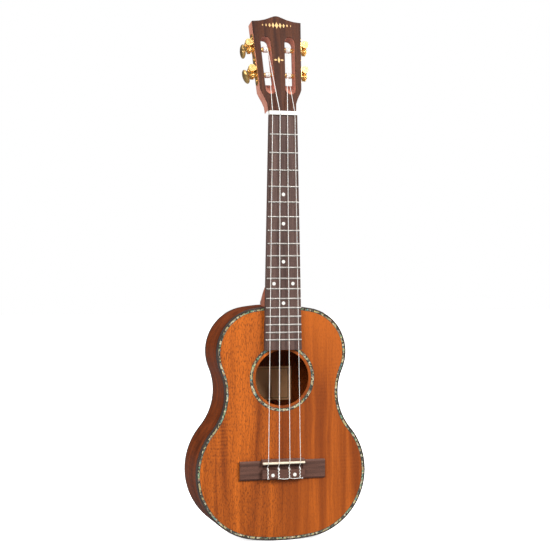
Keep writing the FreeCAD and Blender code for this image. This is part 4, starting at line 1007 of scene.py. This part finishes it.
@dataclass
class Head:
    """Slotted head with its veneer and a plain gold ornament."""

    edge: float = 0.6 * MM
    veneer_edge: float = 0.2 * MM
    veneer_thick: float = 1.2 * MM
    tilt: float = HEAD_TILT
    ornament_rise: float = 0.12 * MM
    ornament_at: float = 114.0 * MM
    pitch: float = 4.6 * MM
    largest: float = 6.4 * MM
    shrink: float = 1.1 * MM
    slimness: float = 0.72
    tallness: float = 1.35
    motif_at: float = 67.5 * MM
    motif_wide: float = 3.4 * MM
    motif_tall: float = 9.0 * MM
    wing_at: float = 4.2 * MM
    wing_wide: float = 4.6 * MM
    wing_tall: float = 2.6 * MM

    def __post_init__(self) -> None:
        """Find the head's foot from its veneer."""
        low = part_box("head_veneer")[0]
        self.foot = Vector((0.0, low.y, low.z + self.veneer_thick * math.sin(self.tilt)))

    def place(self) -> Matrix:
        """Matrix from the head's own frame: x across, y up the face, z out of it.

        Returns:
            The matrix.
        """
        up = Vector((0.0, math.sin(self.tilt), math.cos(self.tilt)))
        out = Vector((0.0, -math.cos(self.tilt), math.sin(self.tilt)))
        across = up.cross(out)
        matrix = Matrix((across, up, out)).transposed().to_4x4()
        matrix.translation = self.foot
        return matrix

    def lozenge(self, x: float, y: float, wide: float, tall: float) -> bpy.types.Object:
        """A flat diamond with a raised middle.

        Args:
            x: Sideways place on the head.
            y: Place up the head.
            wide: Width.
            tall: Height.

        Returns:
            The diamond, in the head's own frame.
        """
        deselect()
        bpy.ops.mesh.primitive_circle_add(vertices=4, radius=1.0, fill_type="NGON", location=(0, 0, 0))
        piece = bpy.context.object
        bpy.ops.object.mode_set(mode="EDIT")
        bpy.ops.transform.resize(value=(wide / 2, tall / 2, 1.0))
        bpy.ops.mesh.extrude_region_move(TRANSFORM_OT_translate={"value": (0, 0, self.ornament_rise)})
        bpy.ops.mesh.inset(thickness=min(wide, tall) * 0.12, depth=self.ornament_rise * 0.4)
        bpy.ops.object.mode_set(mode="OBJECT")
        piece.location = (x, y, 0.0)
        settle(piece)
        return piece

    def ornament(self) -> bpy.types.Object:
        """A row of nine diamonds that shrink toward the sides, and a figure of three below it.

        Returns:
            The diamonds, joined.
        """
        pieces = []
        for step in range(-4, 5):
            size = self.largest - abs(step) * self.shrink
            pieces.append(self.lozenge(step * self.pitch, self.ornament_at, size * self.slimness,
                                       size * self.tallness))
        pieces.append(self.lozenge(0.0, self.motif_at, self.motif_wide, self.motif_tall))
        for side in (-1, 1):
            pieces.append(self.lozenge(side * self.wing_at, self.motif_at, self.wing_wide,
                                       self.wing_tall))
        whole = join("head_ornament", pieces)
        settle(whole, self.place())
        return whole

    def build(self) -> None:
        """Refine the head and its veneer and lay the ornament on."""
        # The head's finish is a paler copy of mahogany that carries painted light from the left.
        remake("head", "head_block", ROOT, "mahogany", "head_mahogany_painted_lit", self.edge)
        remake("head_veneer", "face_veneer", ROOT, "dark_wood", "veneer", self.veneer_edge)
        finish_piece(self.ornament(), ROOT, "gold_metal", "ornament_gold")


# ------------------------------------------------------------------ strings

@dataclass
class Strings:
    """Four strings with the loops, twists and tails that tie them to the bridge."""

    spacing: float = 13.76 * MM
    radii: tuple[float, ...] = (0.35 * MM, 0.43 * MM, 0.38 * MM, 0.33 * MM)
    block_low: float = 78.0 * MM
    block_high: float = 89.5 * MM
    twist_turns: float = 2.5
    twist_steps: int = 14
    twist_top: float = 0.4 * MM
    twist_foot: float = 1.2 * MM
    last_tail: float = 3.4 * MM
    bead_size: float = 1.9

    def __post_init__(self) -> None:
        """Take the tie block's face from the bridge."""
        self.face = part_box("bridge")[0].y

    def tie(self, number: int) -> bpy.types.Object:
        """The tied end of one string.

        Args:
            number: The string, 1 to 4 from the left.

        Returns:
            The knot's strands, joined.
        """
        radius = self.radii[number - 1]
        x = (number - 2.5) * self.spacing
        over = self.face - radius * 1.05
        top = self.block_high
        gap = 2.1 * radius
        loop = [
            Vector((x, over, top - 1.4 * MM)), Vector((x, over - 0.1 * MM, top + 0.2 * MM)),
            Vector((x - gap * 0.7, over + 1.2 * MM, top + 1.5 * MM)),
            Vector((x - gap * 0.3, over + 1.9 * MM, top + 2.1 * MM)),
            Vector((x + gap * 0.9, over + 1.2 * MM, top + 1.6 * MM)),
            Vector((x + gap, over - 0.3 * MM, top + 0.4 * MM)),
        ]
        start, low = top - self.twist_top, self.block_low + self.twist_foot
        twist = []
        for step in range(self.twist_steps + 1):
            share = step / self.twist_steps
            angle = share * self.twist_turns * 2 * math.pi
            lift = gap * (0.55 + 0.45 * math.sin(angle))
            twist.append(Vector((x + gap * math.cos(angle), over - lift,
                                 start - share * (start - low))))
        reach = self.spacing if number < 4 else self.last_tail
        edge = self.block_low - radius * 0.2
        tail = [
            Vector((x + gap * 1.2, over - gap * 0.3, low - 0.8 * MM)),
            Vector((x + gap * 2.0, over - gap * 0.1, edge + 0.5 * MM)),
            Vector((x + reach * 0.35, over + 0.2 * MM, edge - 0.2 * MM)),
            Vector((x + reach * 0.65, over + 0.3 * MM, edge - 0.5 * MM)),
            Vector((x + reach * 0.98, over + 0.1 * MM, edge + 0.1 * MM)),
        ]
        route = loop + twist + (tail if number != 1 else tail[:2])
        pieces = [tube(f"tie_{number}", route, radius)]
        if number == 4:
            pieces.append(self.bead(tail[-1], radius * self.bead_size))
        if number == 2:
            knot = Vector((x, over - gap * 0.4, top + 0.5 * MM))
            pieces.append(self.bead(knot, radius * self.bead_size))
        return join(f"string_tie_{number}", pieces)

    @staticmethod
    def bead(place: Vector, radius: float) -> bpy.types.Object:
        """A small melted or knotted lump.

        Args:
            place: Its middle.
            radius: Its radius before it is squeezed out of round.

        Returns:
            The lump.
        """
        deselect()
        bpy.ops.mesh.primitive_ico_sphere_add(subdivisions=3, radius=radius, location=place)
        bead = bpy.context.object
        bpy.ops.object.mode_set(mode="EDIT")
        bpy.ops.transform.resize(value=(1.25, 0.8, 1.0), center_override=place)
        bpy.ops.object.mode_set(mode="OBJECT")
        settle(bead)
        return bead

    def build(self) -> None:
        """Dress the strings and tie them."""
        for number in range(1, 5):
            remake(f"string_{number}", f"nylon_string_{number}", ROOT, *NYLON, angle=60.0)
            finish_piece(self.tie(number), ROOT, *NYLON, (), 60.0)


# ------------------------------------------------------------------ tuning machines

@dataclass
class TuningMachine:
    """One worm-geared tuner: roller with its winding, wheel, worm and button."""

    number: int
    string_radius: float
    turned: float
    button_long: float = 8.5 * MM
    button_wide: float = 9.25 * MM
    button_half: float = 3.25 * MM
    button_from_gear: float = 26.0 * MM
    dish_from: float = 0.80
    dish_rim: float = 0.7 * MM
    dish_deep: float = 0.35 * MM
    collar_radius: float = 2.7 * MM
    collar_long: float = 4.0 * MM
    collar_round: float = 0.6 * MM
    collar_gap: float = 0.4 * MM
    turn_steps: int = 24
    turn_pack: float = 0.98
    roller_edge: float = 0.15 * MM
    wheel_edge: float = 0.12 * MM
    screw_edge: float = 0.2 * MM
    worm_edge: float = 0.1 * MM

    def __post_init__(self) -> None:
        """Take the two axes from the joints."""
        roller = JOINTS[f"roller_{self.number}_turn"]
        worm = JOINTS[f"button_{self.number}_turn"]
        self.roller_body, self.worm_body = f"roller_{self.number}", f"worm_{self.number}"
        self.axle = Vector(roller["pos_m"])
        self.outward = Vector(roller["axis"]) * (1.0 if self.axle.x > 0 else -1.0)
        self.worm_base = Vector(worm["pos_m"])
        self.backward = Vector(worm["axis"])
        self.upward = self.outward.cross(self.backward)
        if self.upward.z < 0:
            self.upward = -self.upward

    @staticmethod
    def frame_of(base: Vector, along: Vector, toward: Vector) -> Matrix:
        """Matrix whose z runs along one direction and whose x points toward another.

        Args:
            base: The matrix's origin.
            along: Direction of its z.
            toward: Direction of its x.

        Returns:
            The matrix.
        """
        side = along.cross(toward)
        matrix = Matrix((toward, side, along)).transposed().to_4x4()
        matrix.translation = base
        return matrix

    def winding(self) -> bpy.types.Object:
        """A close helix of string round the roller.

        Returns:
            The coil.
        """
        low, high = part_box(f"winding_{self.number}")
        middle = (low + high) / 2
        turns = max(3, int((high.x - low.x) / (2 * self.string_radius)))
        rod = (middle - self.axle).dot(self.outward)
        reach = (high.z - low.z) / 2 - self.string_radius * 1.1
        deselect()
        bpy.ops.mesh.primitive_circle_add(vertices=8, radius=self.string_radius, location=(reach, 0, 0),
                                          rotation=(math.pi / 2, 0, 0))
        coil = bpy.context.object
        coil.name = f"coil_{self.number}"
        bpy.ops.object.transform_apply(location=True, rotation=True, scale=True)
        screw = coil.modifiers.new("turns", "SCREW")
        screw.axis = "Z"
        screw.angle = 2 * math.pi * turns
        screw.steps = self.turn_steps * turns
        screw.render_steps = self.turn_steps * turns
        screw.screw_offset = 2 * self.string_radius * turns * self.turn_pack
        bpy.ops.object.modifier_apply(modifier=screw.name)
        bpy.ops.object.mode_set(mode="EDIT")
        bpy.ops.mesh.select_all(action="SELECT")
        bpy.ops.mesh.remove_doubles(threshold=MERGE_GAP / 2)
        bpy.ops.mesh.select_all(action="DESELECT")
        bpy.ops.mesh.select_non_manifold()
        bpy.ops.mesh.edge_face_add()
        bpy.ops.mesh.select_all(action="SELECT")
        bpy.ops.mesh.normals_make_consistent(inside=False)
        bpy.ops.object.mode_set(mode="OBJECT")
        start = self.axle + self.outward * (rod - self.string_radius * turns)
        settle(coil, self.frame_of(start, self.outward, self.upward))
        return coil

    def button(self) -> bpy.types.Object:
        """An oval button with a shallow dish in each face and a ringed neck.

        Returns:
            The button, joined to its neck.
        """
        deselect()
        bpy.ops.mesh.primitive_uv_sphere_add(segments=32, ring_count=16, radius=1.0, location=(0, 0, 0))
        oval = bpy.context.object
        bpy.ops.object.mode_set(mode="EDIT")
        bpy.ops.transform.resize(value=(self.button_wide, self.button_half, self.button_long))
        bpy.ops.mesh.select_all(action="DESELECT")
        bpy.ops.object.mode_set(mode="OBJECT")
        for face in oval.data.polygons:
            face.select = abs(face.center.y) > self.button_half * self.dish_from
        bpy.ops.object.mode_set(mode="EDIT")
        bpy.ops.mesh.inset(thickness=self.dish_rim, depth=-self.dish_deep)
        bpy.ops.object.mode_set(mode="OBJECT")
        whole = join(f"button_oval_{self.number}", [oval, self.collar()])
        base = self.worm_base + self.backward * self.button_from_gear
        matrix = self.frame_of(base, self.backward, self.upward)
        settle(whole, matrix @ Matrix.Rotation(math.radians(self.turned), 4, "Z"))
        return whole

    def collar(self) -> bpy.types.Object:
        """Rounded collar between the button and the worm's stem.

        Returns:
            The collar.
        """
        deselect()
        bpy.ops.mesh.primitive_cylinder_add(vertices=32, radius=self.collar_radius,
                                            depth=self.collar_long,
                                            location=(0, 0, -self.button_long - self.collar_gap))
        collar = bpy.context.object
        bpy.ops.object.transform_apply(location=True, rotation=False, scale=False)
        bevel = collar.modifiers.new("rounded", "BEVEL")
        bevel.width = self.collar_round
        bevel.segments = 3
        bpy.ops.object.modifier_apply(modifier=bevel.name)
        return collar

    def build(self) -> None:
        """Build and dress the machine."""
        k, roller, worm = self.number, self.roller_body, self.worm_body
        remake(f"roller_{k}", f"roller_shaft_{k}", roller, *GOLD, self.roller_edge)
        remake(f"wheel_{k}", f"gear_wheel_{k}", roller, *GOLD, self.wheel_edge)
        remake(f"wheel_screw_{k}", f"gear_screw_{k}", roller, *GOLD, self.screw_edge)
        remake(f"worm_{k}", f"worm_shaft_{k}", worm, *GOLD, self.worm_edge)
        finish_piece(self.winding(), roller, *NYLON, (f"winding_{k}",), 60.0)
        finish_piece(self.button(), worm, *GOLD, (f"button_{k}",), 40.0)


@dataclass
class MachinePlates:
    """The two lobed plates with their bearings, and the screws that hold them."""

    edge: float = 0.2 * MM

    def build(self) -> None:
        """Refine the plates and screws."""
        for side in ("left", "right"):
            remake(f"tuner_plate_{side}", f"machine_plate_{side}", ROOT, *GOLD, self.edge)
        remake("plate_screws", "wood_screws", ROOT, *GOLD)


# ------------------------------------------------------------------ stage, light and camera

@dataclass(frozen=True)
class SoftLight:
    """A square soft light aimed at the instrument."""

    name: str
    place: tuple[float, float, float]
    size: float
    power: float

    def build(self, aim: Vector) -> None:
        """Hang the light.

        Args:
            aim: The point that it faces.
        """
        lamp = bpy.data.lights.new(self.name, "AREA")
        lamp.size = self.size
        lamp.energy = self.power
        holder = bpy.data.objects.new(self.name, lamp)
        bpy.context.scene.collection.objects.link(holder)
        holder.location = self.place
        holder.rotation_euler = (aim - Vector(self.place)).to_track_quat("-Z", "Y").to_euler()


@dataclass
class Studio:
    """Pale floor, soft lights and the camera."""

    turn: float = math.radians(15.9)
    distance: float = 1722.6 * MM
    aside: float = 8.9 * MM
    height: float = 349.8 * MM
    focal: float = 90.52
    shift: float = -0.0282
    front_glow: float = 0.13
    side_glow: float = 0.95
    facing: tuple[float, float] = (0.25, 0.8)
    heights: tuple[float, float] = (-0.35, 0.9)
    height_glow: tuple[float, float] = (0.45, 1.35)
    floor_size: float = 14.0
    floor_drop: float = 0.4 * MM
    floor_paints: tuple[Colour, Colour] = ((0.93, 0.93, 0.93), (0.96, 0.96, 0.96))
    floor_bounce: Colour = (0.22, 0.22, 0.22)
    floor_glow: float = 0.85
    lights: tuple[SoftLight, ...] = (
        SoftLight("key", (1.5, -1.9, 1.6), 1.0, 76.0),
        SoftLight("fill", (-1.5, -1.8, 1.2), 1.0, 32.0),
        SoftLight("rim", (-1.9, 0.1, 1.0), 0.7, 9.0),
    )

    def floor(self) -> None:
        """Wide pale floor, which gives back less light than it shows."""
        deselect()
        bpy.ops.mesh.primitive_plane_add(size=self.floor_size, location=(0, 0, -self.floor_drop))
        floor = bpy.context.object
        floor.name = "floor"
        bpy.ops.object.transform_apply(location=True, rotation=True, scale=True)
        material = bpy.data.materials.new("floor_paint")
        material.use_nodes = True
        graph = Graph(material.node_tree)
        shader = material.node_tree.nodes["Principled BSDF"]
        place = graph.node("ShaderNodeTexCoord").outputs["Object"]
        cloud = graph.spread(graph.noise(place, 3.0, 3.0), 0.3, 0.7)
        paint = graph.mix(cloud, *self.floor_paints)
        seen = graph.node("ShaderNodeLightPath").outputs["Is Camera Ray"]
        graph.tree.links.new(graph.mix(seen, self.floor_bounce, paint), shader.inputs["Base Color"])
        graph.tree.links.new(paint, shader.inputs["Emission Color"])
        glow = graph.math("MULTIPLY", seen, self.floor_glow)
        graph.tree.links.new(glow, shader.inputs["Emission Strength"])
        shader.inputs["Roughness"].default_value = 0.9
        floor.data.materials.append(material)
        deselect()

    def world(self) -> None:
        """White surroundings that light from the sides and above, and hardly from before or behind."""
        world = bpy.data.worlds.new("studio_white")
        bpy.context.scene.world = world
        world.use_nodes = True
        graph = Graph(world.node_tree)
        way = graph.node("ShaderNodeTexCoord").outputs["Generated"]
        parts = graph.node("ShaderNodeSeparateXYZ", {0: way})
        facing = graph.math("ABSOLUTE", parts.outputs[1])
        around = graph.spread(facing, *self.facing, self.side_glow, self.front_glow)
        above = graph.spread(parts.outputs[2], *self.heights, *self.height_glow)
        glow = graph.math("MULTIPLY", around, above)
        seen = graph.node("ShaderNodeLightPath").outputs["Is Camera Ray"]
        strength = graph.node("ShaderNodeMix", {0: seen, 2: glow, 3: 1.0}, data_type="FLOAT")
        background = world.node_tree.nodes["Background"]
        background.inputs[0].default_value = (1.0, 1.0, 1.0, 1.0)
        graph.tree.links.new(strength.outputs[0], background.inputs[1])
        bpy.context.scene.view_settings.view_transform = "Standard"

    def camera(self) -> None:
        """Camera to the left of the instrument's axis, level, at the height of the upper body."""
        data = bpy.data.cameras.new("camera")
        data.lens = self.focal
        data.sensor_width = 36.0
        data.shift_y = self.shift
        holder = bpy.data.objects.new("camera", data)
        bpy.context.scene.collection.objects.link(holder)
        sine, cosine = math.sin(self.turn), math.cos(self.turn)
        face_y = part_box("soundboard")[0].y
        holder.location = (-self.aside * cosine - self.distance * sine,
                           self.aside * sine - self.distance * cosine + face_y, self.height)
        holder.rotation_euler = Vector((sine, cosine, 0.0)).to_track_quat("-Z", "Y").to_euler()
        bpy.context.scene.camera = holder

    def build(self) -> None:
        """Set the stage."""
        self.floor()
        self.world()
        low, high = CAD_BOX
        for light in self.lights:
            light.build((low + high) / 2)
        self.camera()


def main() -> None:
    """Build every sub-assembly in order."""
    logging.basicConfig(level=logging.INFO, format="%(name)s: %(message)s")
    build_finishes()
    SoundBox().build()
    Bridge().build()
    Neck().build()
    Head().build()
    strings = Strings()
    strings.build()
    MachinePlates().build()
    for number, turned in enumerate(BUTTON_TURNS, start=1):
        TuningMachine(number, strings.radii[number - 1], turned).build()
    Studio().build()


if __name__ == "__main__":
    main()
